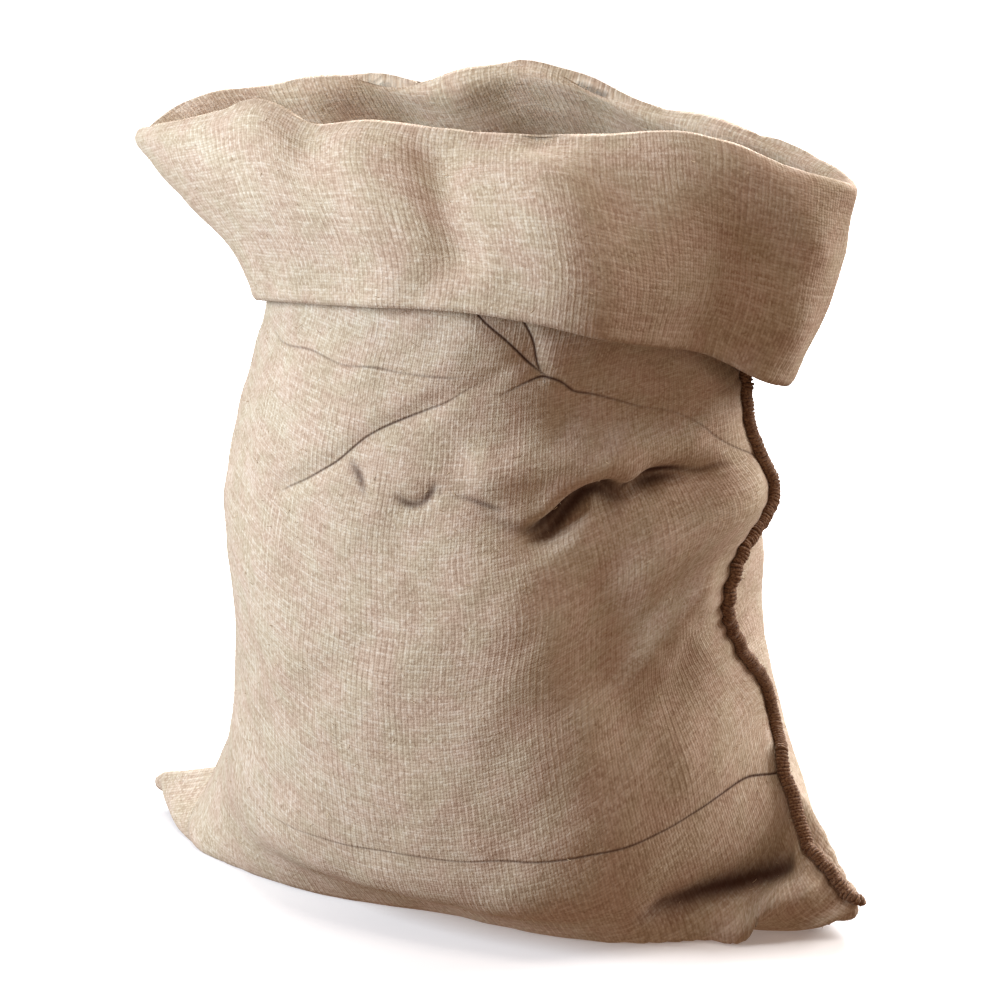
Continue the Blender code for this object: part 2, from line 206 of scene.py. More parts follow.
FOLDS: tuple[Fold, ...] = (
    # waist crease
    Fold(13, -10, ((424, 471), (430, 474), (442, 483), (458, 488), (474, 478), (503, 472))),
    Fold(12, -5, ((503, 472), (526, 466), (545, 460))),
    Fold(19, 7, ((375, 528), (450, 516), (540, 492))),  # roll that hangs over it
    Fold(36, -10, ((432, 420), (470, 432), (520, 436))),  # hollow under the roll
    Fold(26, -10, ((458, 405), (466, 345), (472, 290))),  # its tail
    Fold(9, -2, ((190, 478), (244, 522), (297, 565), (376, 602))),  # slanting crease
    Fold(24, -6, ((440, 562), (541, 508))),  # pull towards the seam
    Fold(14, -12, ((470, 147), (503, 139), (539, 124), (574, 106))),  # crease over the corner
    Fold(19, 17, ((512, 106), (548, 92), (590, 72))),  # roll under it
    Fold(90, 15, ((425, 170), (420, 400))),  # the fill, fullest right of the middle
    Fold(26, 8, ((566, 343), (530, 332), (490, 318), (462, 298))),  # crest from the seam's notch
    Fold(26, 5, ((520, 225), (560, 225), (590, 215))),  # swell under it
    Fold(26, 5, ((262, 800), (262, 900))),  # cuff, from left to right
    Fold(19, -9, ((322, 800), (322, 872))),
    Fold(44, 17, ((404, 818), (408, 895))),
    Fold(40, -21, ((522, 852), (516, 898))),
    Fold(24, 5, ((575, 810), (570, 900))),
    Fold(24, -6, ((1095, 690), (1098, 775))),  # inside of the back panel
    Fold(26, 6, ((1035, 690), (1030, 775))),
    Fold(24, -6, ((972, 680), (975, 770))),
    Fold(28, 6, ((868, 680), (872, 775))),
    Fold(26, -5, ((775, 690), (765, 775))),
    Fold(34, 7, ((700, 330), (790, 430), (900, 470))),  # back panel, slack above the base
    Fold(30, -8, ((720, 420), (820, 500), (960, 520))),
    Fold(34, 6, ((1150, 380), (1050, 430), (930, 420))),
    Fold(32, -6, ((1165, 300), (1080, 250))),
    Fold(40, -7, ((900, 260), (905, 400))),
    Fold(30, -5, ((1000, 800), (1010, 905))),
    Fold(30, -5, ((790, 800), (780, 905))),
)

FIRST, SECOND, THIRD = CreaseLayer
CREASES: tuple[Crease, ...] = (
    # the line that pressing left across the front, low down
    Crease(FIRST, 5, 0.9, 0.6, 0.7, (
        (165, 214, 0.0), (191, 222, 0.2), (224, 230, 0.3), (269, 238, 0.5), (310, 242, 0.5),
        (346, 240, 0.5), (369, 238, 0.6), (399, 230, 0.7), (435, 220, 0.8), (458, 212, 0.8),
        (483, 205, 0.7), (516, 195, 0.8), (569, 175, 1.0), (604, 150, 1.0),
    )),
    # the long slanting crease
    Crease(SECOND, 4.5, 1.2, 0.0, 0.9, (
        (190, 474, 0.0), (196, 480, 0.3), (219, 500, 0.7), (244, 522, 0.9), (272, 550, 0.8),
        (297, 565, 0.9), (320, 575, 0.7), (338, 582, 0.5), (351, 590, 0.3), (376, 602, 0.0),
    )),
    # the two lines of the dent under the cuff
    Crease(FIRST, 6, 1.6, -0.9, 1.0, (
        (340, 662, 1.0), (353, 648, 1.0), (381, 625, 1.0), (400, 608, 1.0), (411, 600, 0.6),
    )),
    Crease(SECOND, 6, 2.6, 1.0, 1.1, (
        (372, 668, 1.0), (388, 645, 1.0), (399, 626, 1.0), (407, 606, 0.9), (411, 599, 0.6),
    )),
    # the line that runs on from the dent to the seam
    Crease(THIRD, 6, 1.8, 0.8, 1.2, (
        (376, 583, 0.0), (390, 590, 0.5), (414, 596, 1.0), (427, 590, 0.9), (440, 578, 0.8),
        (458, 570, 0.6), (475, 560, 0.5), (501, 542, 0.3), (518, 532, 0.2), (541, 512, 0.3),
        (564, 485, 0.4), (587, 465, 0.5), (604, 452, 0.7),
    )),
    # the deep wavy fold at the waist
    Crease(FIRST, 7, 7.0, 5.0, 5.2, (
        (366, 506, 0.0), (391, 482, 0.25), (404, 474, 0.4), (416, 471, 0.8), (428, 476, 1.0),
        (440, 485, 1.0), (455, 491, 1.0), (466, 487, 0.9), (476, 477, 0.8), (483, 470, 0.4),
        (489, 465, 0.0),
    )),
    Crease(SECOND, 6, 3.5, 2.0, 3.4, (
        (476, 468, 0.0), (487, 475, 0.8), (495, 477, 0.9), (503, 476, 1.0), (514, 474, 1.0),
        (525, 470, 0.9), (536, 464, 0.5), (548, 459, 0.5), (560, 459, 0.4), (574, 455, 0.0),
    )),
    # the painted shadow that the two parts of that fold hold
    Crease(THIRD, 7, 0.0, 0.0, 4.6, (
        (404, 466, 0.0), (416, 465, 0.6), (428, 470, 0.9), (440, 479, 1.0), (455, 485, 1.0),
        (466, 481, 0.9), (476, 472, 0.6), (486, 466, 0.3), (495, 469, 0.5), (503, 469, 0.8),
        (514, 467, 0.8), (525, 463, 0.5), (536, 458, 0.0),
    )),
    # the fold that comes from the right corner of the base
    Crease(SECOND, 10, 6.0, -4.0, 6.0, (
        (444, 153, 0.0), (458, 150, 0.4), (476, 146, 0.8), (503, 140, 1.0), (539, 125, 1.0),
        (562, 113, 1.0), (580, 104, 0.8), (592, 96, 0.0),
    )),
    # a faint line under the cuff's left half
    Crease(FIRST, 6, 0.8, 0.3, 1.0, (
        (110, 592, 0.0), (137, 585, 0.3), (198, 595, 0.5), (239, 595, 0.3), (269, 600, 0.6),
        (292, 600, 0.3), (336, 600, 0.4), (352, 600, 0.0),
    )),
    # small dents over the waist
    Crease(THIRD, 8, 2.4, 0.0, 3.6, ((256, 530, 0.0), (268, 520, 0.8), (280, 502, 0.0))),
    Crease(THIRD, 8, 2.6, 0.0, 3.6, (
        (300, 512, 0.0), (312, 505, 0.8), (324, 506, 0.7), (330, 514, 0.9), (334, 524, 0.0),
    )),
    Crease(THIRD, 7, 1.6, 0.6, 2.4, (
        (346, 512, 0.0), (362, 508, 0.5), (378, 500, 0.6), (392, 492, 0.0),
    )),
)

SIDE_RIDGE: tuple[Ridge, ...] = (
    Ridge(8, 3.2, 4.6),
    Ridge(40, 7.2, 7.6),
    Ridge(690, 7.2, 7.6),
    Ridge(735, 2.8, 3.8),
    # pressed flat through the turn of the mouth
    Ridge(764, 0.7, 1.4),
    Ridge(790, 0.7, 1.4),
    Ridge(830, 2.0, 2.0),
    Ridge(912, 2.8, 2.8),
)
# the ridge of the bottom seam, and how far from the corners it stops
BOTTOM_HEIGHT = 4.4
BOTTOM_WIDTH = 7.6
BOTTOM_INSET = 20.0


# --- shared helpers
def colour(value: str) -> tuple[float, float, float, float]:
    """Linear colour of an sRGB hex value.

    Args:
        value: six hex digits.

    Returns:
        Red, green, blue and alpha for a shader socket.
    """
    shares = [int(value[start : start + 2], 16) / 255.0 for start in (0, 2, 4)]
    linear = [s / 12.92 if s <= 0.04045 else ((s + 0.055) / 1.055) ** 2.4 for s in shares]
    return (*linear, 1.0)


def fill(node: Node, inputs: Inputs) -> None:
    """Links or sets inputs of a node.

    Args:
        node: the node.
        inputs: sockets to link or values to set, in order or by the input's name or number.
    """
    for key, value in inputs.items() if isinstance(inputs, dict) else enumerate(inputs):
        if isinstance(value, NodeSocket):
            node.id_data.links.new(value, node.inputs[key])
        else:
            node.inputs[key].default_value = value


def add_node(
    tree: NodeTree, kind: str, inputs: Inputs = (), out: str | int = 0, **settings: object
) -> NodeSocket:
    """Adds a node to a tree.

    Args:
        tree: the shader or geometry tree.
        kind: the node's type.
        inputs: values or sockets for its inputs, in order or by name or number.
        out: which of its outputs is wanted.
        settings: properties of the node.

    Returns:
        That output.
    """
    node = tree.nodes.new(kind)
    for name, value in settings.items():
        setattr(node, name, value)
    fill(node, inputs)
    return node.outputs[out]


def new_material(name: str) -> tuple[Material, Adder]:
    """Makes a material that uses nodes.

    Args:
        name: its name.

    Returns:
        The material, and add_node for its tree.
    """
    material = bpy.data.materials.new(name)
    material.use_nodes = True
    return material, partial(add_node, material.node_tree)


def shaded(material: Material, inputs: dict[str, object]) -> Material:
    """The material, after its shader's inputs are filled."""
    fill(material.node_tree.nodes["Principled BSDF"], inputs)
    return material


def new_mesh(name: str, points: np.ndarray, edges: Faces, faces: Faces) -> Mesh:
    """Makes a smooth mesh.

    Args:
        name: its name.
        points: its points in metres.
        edges: pairs of point numbers, where it has no faces.
        faces: point numbers of its faces.

    Returns:
        The mesh.
    """
    mesh = bpy.data.meshes.new(name)
    mesh.from_pydata(points.tolist(), edges, faces)
    mesh.shade_smooth()
    return mesh


def new_object(name: str, data: bpy.types.ID) -> Object:
    """Makes an object in the scene.

    Args:
        name: its name.
        data: its mesh, lamp or camera.

    Returns:
        The object.
    """
    made = bpy.data.objects.new(name, data)
    bpy.context.scene.collection.objects.link(made)
    return made


def loop_faces(loops: int, sides: int) -> Faces:
    """Faces between closed loops of points.

    Args:
        loops: how many loops follow each other.
        sides: points in each.

    Returns:
        The faces, loop after loop.
    """
    corners = [(side, (side + 1) % sides) for side in range(sides)]
    starts = range(0, (loops - 1) * sides, sides)
    return [(k + a, k + b, k + b + sides, k + a + sides) for k in starts for a, b in corners]


def eased(knots: np.ndarray, values: np.ndarray, at: np.ndarray | float) -> np.ndarray:
    """Values between the knots of a table, on a smooth curve through them.

    Args:
        knots: rising places.
        values: the value at each.
        at: where to read the curve.

    Returns:
        The curve's values there.
    """
    step = np.diff(knots)
    slope = np.diff(values) / step
    inner = (slope[:-1] * step[1:] + slope[1:] * step[:-1]) / (step[1:] + step[:-1])
    tangent = np.concatenate([slope[:1], inner, slope[-1:]])
    cell = np.clip(np.searchsorted(knots, at, side="right") - 1, 0, len(step) - 1)
    share = (at - knots[cell]) / step[cell]
    rest = 1.0 - share
    start = values[cell] * (1.0 + 2.0 * share) * rest**2
    end = values[cell + 1] * (3.0 - 2.0 * share) * share**2
    bend = tangent[cell] * rest - tangent[cell + 1] * share
    return start + end + bend * step[cell] * share * rest


def graded(spacing: tuple[tuple[float, float], ...], samples: int = 4000) -> np.ndarray:
    """Places along a line whose spacing follows a table.

    Args:
        spacing: (place, spacing there) pairs, from the line's start to its end.
        samples: how many places the table is read at.

    Returns:
        Rising places that include both ends.
    """
    knots, steps = np.array(spacing, float).T
    fine = np.linspace(knots[0], knots[-1], samples)
    density = 1.0 / np.interp(fine, knots, steps)
    count = np.concatenate([[0.0], np.cumsum((density[1:] + density[:-1]) / 2.0 * np.diff(fine))])
    wanted = np.linspace(0.0, count[-1], int(round(count[-1])) + 1)
    return np.interp(wanted, count, fine)


def unit(vectors: np.ndarray) -> np.ndarray:
    """Vectors brought to length 1."""
    return vectors / np.maximum(np.linalg.norm(vectors, axis=-1, keepdims=True), 1e-9)


def gaussian(share: np.ndarray) -> np.ndarray:
    """A soft hump of height 1 that is mostly gone where the share is 2."""
    return np.exp(-(share**2))


# --- the form
@dataclass(frozen=True)
class StandingForm:
    """The way the flat cloth stands in the room.

    across runs round the sack from the left fold, over the front to the side seam and on over
    the back, and along runs from the bottom seam to the hem.
    """

    flat_width: float = 610.0
    flat_height: float = 915.0
    mouth_turn: float = 770.0
    floor: float = 1.0
    loop_steps: int = 720
    seam_reach: float = 0.22
    wrinkle_seed: int = 7
    # Lengths and heights of the slack's waves, from broad to fine, and how many of each cross.
    wrinkle_sizes: tuple[tuple[float, float], ...] = (
        (190, 0.9), (120, 0.7), (75, 0.45), (46, 0.28), (27, 0.15),
    )
    wrinkle_count: int = 5
    # Least and most share that a wave's number of turns round the sack is multiplied by.
    wrinkle_stray: tuple[float, float] = (0.6, 1.2)

    def section_at(self, along: float) -> Section:
        """The section at a distance along the cloth, eased between the rows of SECTIONS."""
        table = np.array(SECTIONS, float)
        return Section(along, *(eased(table[:, 0], column, along) for column in table[:, 1:].T))

    def section_points(self, section: Section, angle: np.ndarray) -> np.ndarray:
        """Points of a section.

        Args:
            section: the section.
            angle: from 0 at the right end, over the front at +90 degrees, in radians.

        Returns:
            An array of points by 3.
        """
        run = np.cos(angle)
        side = np.sin(angle)
        front = side >= 0.0
        power = 2.0 / np.where(run < 0.0, section.left_square, section.right_square)
        reach = np.sign(run) * np.abs(run) ** power
        depth = np.minimum(np.abs(side) ** power, 1.0)
        drop = np.where(front, section.front_drop, section.back_drop)
        soon = 1.0 - (1.0 - depth) ** (1.0 / drop)
        level = np.where(drop < 1.0, soon, depth**drop)
        end_z = section.left_z + (section.right_z - section.left_z) * (reach + 1.0) / 2.0
        middle_z = np.where(front, section.front_z, section.back_z)
        half_width = (section.right_x - section.left_x) / 2.0
        x = (section.left_x + section.right_x) / 2.0 + half_width * reach
        y = depth * np.where(front, section.front_y, section.back_y)
        return np.stack([x, y, end_z * (1.0 - level) + middle_z * level], axis=-1)

    def panel_points(self, section: Section, side: float, share: np.ndarray) -> np.ndarray:
        """Points of one panel's half of a section.

        Args:
            section: the section.
            side: 1 for the front panel and -1 for the back.
            share: shares of the panel's length from the left fold.

        Returns:
            An array of points by 3.
        """
        sweep = side * np.linspace(math.pi, 0.0, self.loop_steps + 1)
        steps = np.linalg.norm(np.diff(self.section_points(section, sweep), axis=0), axis=1)
        length = np.concatenate([[0.0], np.cumsum(steps)])
        angle = np.interp(share * length[-1], length, sweep)
        near = np.clip(1.0 - (1.0 - share) / self.seam_reach, 0.0, 1.0)
        angle += math.radians(section.turn) * near**2 * (3.0 - 2.0 * near)
        return self.section_points(section, angle)

    def away_round(self, across: np.ndarray, centre: float) -> np.ndarray:
        """Distance round the sack from a place, the short way."""
        return (across - centre + self.flat_width) % (2.0 * self.flat_width) - self.flat_width

    def to_path(
        self, across: np.ndarray, along: np.ndarray, path: np.ndarray
    ) -> tuple[np.ndarray, np.ndarray]:
        """Where the cloth lies beside a path.

        Args:
            across: places across, as an array that broadcasts with along.
            along: places along.
            path: points by (across, along, strength).

        Returns:
            Signed distances, positive on the path's left, and the strength of the nearest point.
        """
        shape = np.broadcast(across, along).shape
        nearest = np.full(shape, np.inf)
        signed = np.zeros(shape)
        strength = np.zeros(shape)
        for (u0, v0, s0), (u1, v1, s1) in zip(path[:-1], path[1:]):
            du = self.away_round(across, u0)
            dv = along - v0
            run, rise = u1 - u0, v1 - v0
            share = np.clip((du * run + dv * rise) / (run**2 + rise**2), 0.0, 1.0)
            distance = np.hypot(du - share * run, dv - share * rise)
            side = np.where(run * dv - rise * du >= 0.0, 1.0, -1.0)
            closer = distance < nearest
            nearest = np.where(closer, distance, nearest)
            signed = np.where(closer, distance * side, signed)
            strength = np.where(closer, s0 + share * (s1 - s0), strength)
        return signed, strength

    def outward(self, cloth: np.ndarray) -> np.ndarray:
        """Unit normals of the cloth, away from the inside of the body."""
        round_way = np.roll(cloth, -1, axis=1) - np.roll(cloth, 1, axis=1)
        return unit(np.cross(round_way, np.gradient(cloth, axis=0)))

    def wrinkles(self, across: np.ndarray, along: np.ndarray) -> np.ndarray:
        """Slack of the cloth as a few crossing waves that never repeat on it.

        Args:
            across: places across.
            along: places along.

        Returns:
            Heights in millimetres.
        """
        random = np.random.default_rng(self.wrinkle_seed)
        height = np.zeros(np.broadcast(across, along).shape)
        for length, size in self.wrinkle_sizes:
            for _ in range(self.wrinkle_count):
                stray = random.uniform(*self.wrinkle_stray)
                turns = max(1, round(2.0 * self.flat_width / length * stray))
                slope = random.uniform(-1.0, 1.0) * math.tau / length
                wave = turns * math.pi * across / self.flat_width + slope * along
                height = height + size * np.sin(wave + random.uniform(0.0, math.tau)) / 2.0
        return height

    def shaped(self, front: np.ndarray, back: np.ndarray, rows: np.ndarray) -> np.ndarray:
        """The middle of the cloth as it stands.

        Args:
            front: the front columns' places across, from the left fold to the seam.
            back: the back columns' places across, after the seam and before the fold.
            rows: places along.

        Returns:
            An array of rows by columns by 3.
        """
        shares = ((1.0, front / self.flat_width), (-1.0, 2.0 - back / self.flat_width))
        loops = []
        for place in rows:
            section = self.section_at(place)
            halves = [self.panel_points(section, side, share) for side, share in shares]
            loops.append(np.concatenate(halves))
        cloth = np.array(loops)
        across = np.concatenate([front, back])[None, :]
        along = rows[:, None]
        for swell in SWELLS:
            across_share = self.away_round(across, swell.across) / swell.reach_across
            along_share = (along - swell.along) / swell.reach_along
            weight = np.exp(-(across_share**2) - along_share**2)
            cloth += weight[..., None] * np.array([swell.x, swell.y, swell.z], float)
        height = np.zeros(cloth.shape[:2])
        for fold in FOLDS:
            path = np.array([(*place, 1.0) for place in fold.path])
            distance, _ = self.to_path(across, along, path)
            height += fold.height * gaussian(distance / fold.half_width)
        # The outside of the body becomes the inside of the cuff, so a swell is turned there.
        turned = np.where(along > self.mouth_turn, -1.0, 1.0)
        return cloth + self.outward(cloth) * (height * turned)[..., None]


# --- finishes
@dataclass(frozen=True)
class JuteCloth:
    """Undyed jute hessian: a loose plain weave of uneven, hairy, single-spun yarn.

    It is matt. Stouter warp yarns show as broken upright lines, and hairs and slubs as flecks.
    The gaps between its yarns and the bottoms of its creases carry painted shade.
    """

    name: str = "undyed_jute_hessian"
    yarn: str = "C2B29E"
    shaded_yarn: str = "A08B76"
    pale_yarn: str = "DCD4C6"
    rosy_yarn: str = "C5AFA2"
    green_yarn: str = "BDB7A1"
    # colour of the bark specks, and the painted shade in the gaps between the yarns
    bark_and_gap_shade: str = "745742"
    # the painted shade in the bottoms of the creases
    crease: str = "38190E"
    sheen: str = "F4ECE0"
    # Real yarns stand 2.2 mm apart. The stout ones are drawn at twice that, so that they show.
    yarn_pitch: float = 2.2
    stout_pitch: float = 4.35
    slub_length: float = 28.0
    fleck_size: float = 4.2
    patch_size: float = 50.0
    wander_size: float = 55.0
    wander: float = 4.0
    # Cells in a millimetre: rosy and greenish areas are 29 mm wide, bits of bark 2.4 by 6.3 mm,
    # and areas of stout yarn 20 by 83 mm.
    hue_cells: float = 0.035
    bark_cells: tuple[float, float, float] = (0.42, 0.16, 1.0)
    stout_cells: tuple[float, float, float] = (0.05, 0.012, 1.0)
    # How far apart neighbouring yarns read the noise, so that each has its own tone.
    yarn_apart: float = 7.31
    roughness: float = 0.93
    weave_height: float = 0.34
    # How much the yarn's tone, the flecks and the patches each shift the colour.
    shares: tuple[float, float, float] = (0.46, 0.74, 0.24)
    cast_share: float = 0.35
    crease_shade: float = 0.92
    # Heights of the flecks and of the creases' lines, in shares of the weave's.
    fleck_relief: float = 2.2
    crease_relief: float = -2.0

    def build(self) -> Material:
        """Makes the material, on the cloth's own map in millimetres.

        Returns:
            The material.
        """
        material, add = new_material(self.name)
        place = add("ShaderNodeUVMap", uv_map=SackCloth.WEAVE_MAP)
        top, tone = self.weave(add, self.wandering(add, place))
        noise = {"Vector": place, "Scale": 1.0 / self.fleck_size, "Detail": 4.0, "Roughness": 0.66}
        flecks = add(NOISE, noise)
        noise = {"Vector": place, "Scale": 1.0 / self.patch_size, "Detail": 4.0, "Roughness": 0.6}
        mixed: NodeSocket | float = 0.5 - sum(self.shares) / 2.0
        for part, share in zip((tone, flecks, add(NOISE, noise)), self.shares):
            mixed = add(MATH, (part, share, mixed), operation="MULTIPLY_ADD")
        yarn = add(RAMP, {"Fac": mixed})
        ramp = yarn.node.color_ramp
        ramp.elements[0].position, ramp.elements[0].color = 0.36, colour(self.shaded_yarn)
        ramp.elements[1].position, ramp.elements[1].color = 0.64, colour(self.pale_yarn)
        ramp.elements.new(0.50).color = colour(self.yarn)

        # Rosy and greenish areas, two fingers wide.
        hue = add(NOISE, {"Vector": place, "Scale": self.hue_cells, "Detail": 3.0})
        spread = add(RANGE, {"Value": hue, "From Min": 0.38, "From Max": 0.62})
        cast = {"Factor": spread, 6: colour(self.rosy_yarn), 7: colour(self.green_yarn)}
        cast = add(MIX, cast, out=2, data_type="RGBA")
        cast = {"Factor": self.cast_share, 6: yarn, 7: cast}
        darkened = add(MIX, cast, out=2, data_type="RGBA")

        # Bits of bark, drawn out along the warp, and painted shade in the gaps between the yarns
        # and in the creases.
        drawn = add(VECTOR, (place, self.bark_cells), operation="MULTIPLY")
        specks = add(NOISE, {"Vector": drawn, "Scale": 1.0, "Detail": 2.0})
        bark = {"Value": specks, "From Min": 0.66, "From Max": 0.76, "To Max": 0.5}
        # Painted shade in the gaps, darkest where the yarn on top is lowest.
        depth = {"Value": top, "From Min": 0.20, "From Max": 0.75, "To Min": 0.30, "To Max": 0.0}
        line = self.painted_crease_lines(add)
        for amount, dark in (
            (add(RANGE, bark), self.bark_and_gap_shade),
            (add(RANGE, depth), self.bark_and_gap_shade),
            (add(MATH, (line, self.crease_shade), operation="MULTIPLY"), self.crease),
        ):
            pair = {"Factor": amount, 6: darkened, 7: colour(dark)}
            darkened = add(MIX, pair, out=2, data_type="RGBA")

        rough = add(MATH, (flecks, self.fleck_relief, top), operation="MULTIPLY_ADD")
        relief = add(MATH, (line, self.crease_relief, rough), operation="MULTIPLY_ADD")
        return shaded(material, {
            "Base Color": darkened,
            "Normal": add(BUMP, {"Distance": self.weave_height * MM, "Height": relief}),
            "Roughness": self.roughness,
            "Specular IOR Level": 0.2,
            "Sheen Weight": 0.12,
            "Sheen Roughness": 0.45,
            "Sheen Tint": colour(self.sheen),
        })

    def painted_crease_lines(self, add: Adder) -> NodeSocket:
        """The lines of painted shade in the bottom of the creases, as sharp as the map and not as
        the mesh.

        Args:
            add: adds a node to the shader tree.

        Returns:
            How dark the line's painted shade is, from 0 to 1.
        """
        line: NodeSocket | float = 0.0
        for layer in CreaseLayer:
            held = add("ShaderNodeAttribute", out="Vector", attribute_name=layer.value)
            split = add("ShaderNodeSeparateXYZ", (held,)).node.outputs
            ratio = add(MATH, (split[0], split[2]), operation="DIVIDE")
            fall = add(MATH, (ratio, ratio), operation="MULTIPLY")
            fall = add(MATH, (fall, -1.0), operation="MULTIPLY")
            bell = add(MATH, (fall,), operation="EXPONENT")
            bell = add(MATH, (bell, split[1]), operation="MULTIPLY")
            line = add(MATH, (line, bell), operation="MAXIMUM")
        return line

    def wandering(self, add: Adder, place: NodeSocket) -> NodeSocket:
        """The map, pushed about a little, so that no yarn runs quite straight.

        Args:
            add: adds a node to the shader tree.
            place: the map in millimetres.

        Returns:
            The pushed map.
        """
        noise = {"Vector": place, "Scale": 1.0 / self.wander_size, "Detail": 3.0}
        wander = add(NOISE, noise, out="Color")
        centred = add(VECTOR, (wander, (0.5, 0.5, 0.5)), operation="SUBTRACT")
        shift = add(VECTOR, {0: centred, "Scale": self.wander}, operation="SCALE")
        return add(VECTOR, (place, shift), operation="ADD")

    def weave(self, add: Adder, laid: NodeSocket) -> tuple[NodeSocket, NodeSocket]:
        """The plain weave, with a stout warp yarn beside each thin one.

        Args:
            add: adds a node to the shader tree.
            laid: the pushed map.

        Returns:
            The height of the yarn on top, and its tone, which differs from yarn to yarn.
        """
        axes = add("ShaderNodeSeparateXYZ", (laid,)).node.outputs
        waves, tones, heights = [], [], []
        # Warp first, then weft, whose yarns differ more.
        for axis, other, seed, contrast in ((0, 1, 3.0, 0.75), (1, 0, 8.0, 1.9)):
            count = add(MATH, (axes[axis], self.yarn_pitch), operation="DIVIDE")
            turn = add(MATH, (count, math.pi), operation="MULTIPLY")
            waves.append(add(MATH, (turn,), operation="COSINE"))
            number = add(MATH, (count,), operation="ROUND")
            apart = add(MATH, (number, self.yarn_apart), operation="MULTIPLY")
            slub = add(MATH, (axes[other], self.slub_length), operation="DIVIDE")
            spot = add("ShaderNodeCombineXYZ", (apart, slub, seed))
            tone = add(NOISE, {"Vector": spot, "Scale": 1.0, "Detail": 3.0})
            spread = (tone, contrast, 0.5 - contrast / 2.0)
            tones.append(add(MATH, spread, operation="MULTIPLY_ADD"))
        crossing = add(MATH, (waves[0], waves[1]), operation="MULTIPLY")
        for wave, share, sign in ((waves[0], 0.50, 0.24), (waves[1], 0.38, -0.24)):
            tall = add(MATH, (wave,), operation="ABSOLUTE")
            tall = add(MATH, (tall, share), operation="MULTIPLY")
            heights.append(add(MATH, (crossing, sign, tall), operation="MULTIPLY_ADD"))
        # Stout yarns show in some areas and not in others.
        turns = add(MATH, (axes[0], math.tau / self.stout_pitch), operation="MULTIPLY")
        rows = add(VECTOR, (laid, self.stout_cells), operation="MULTIPLY")
        area = add(NOISE, {"Vector": rows, "Scale": 1.0, "Detail": 3.0})
        shown = {"Value": area, "From Min": 0.40, "From Max": 0.66, "To Min": 0.03, "To Max": 0.27}
        swing = add(MATH, (turns,), operation="COSINE")
        upper = add(MATH, (heights[0], heights[1]), operation="MAXIMUM")
        top = add(MATH, (swing, add(RANGE, shown), upper), operation="MULTIPLY_ADD")
        over = add(MATH, (heights[0], heights[1]), operation="GREATER_THAN")
        return top, add(MIX, {"Factor": over, 2: tones[1], 3: tones[0]}, data_type="FLOAT")


@dataclass(frozen=True)
class JuteTwine:
    """Dark brown sewing twine of spun jute: hairy and matt, with paler fibres in it."""

    name: str
    dark: str = "523526"
    light: str = "A38468"
    grain: float = 620.0
    roughness: float = 0.9

    def build(self) -> Material:
        """Makes the material, on object coordinates.

        Returns:
            The material.
        """
        material, add = new_material(self.name)
        place = add("ShaderNodeTexCoord", out="Object")
        noise = {"Vector": place, "Scale": self.grain, "Detail": 4.0, "Roughness": 0.7}
        fibres = add(NOISE, noise)
        ramp = add(RAMP, {"Fac": fibres})
        low, high = ramp.node.color_ramp.elements
        low.position, low.color = 0.36, colour(self.dark)
        high.position, high.color = 0.70, colour(self.light)
        return shaded(material, {
            "Base Color": ramp,
            "Normal": add(BUMP, {"Distance": 0.5 * MM, "Height": fibres}),
            "Roughness": self.roughness,
            "Specular IOR Level": 0.2,
            "Sheen Weight": 0.2,
        })


@dataclass(frozen=True)
class LooseJute:
    """Single fibres of jute, straw-coloured and a little shiny."""

    name: str
    tint: str
    roughness: float = 0.7

    def build(self) -> Material:
        """Makes the material."""
        look = {"Base Color": colour(self.tint), "Roughness": self.roughness}
        return shaded(new_material(self.name)[0], {**look, "Specular IOR Level": 0.3})


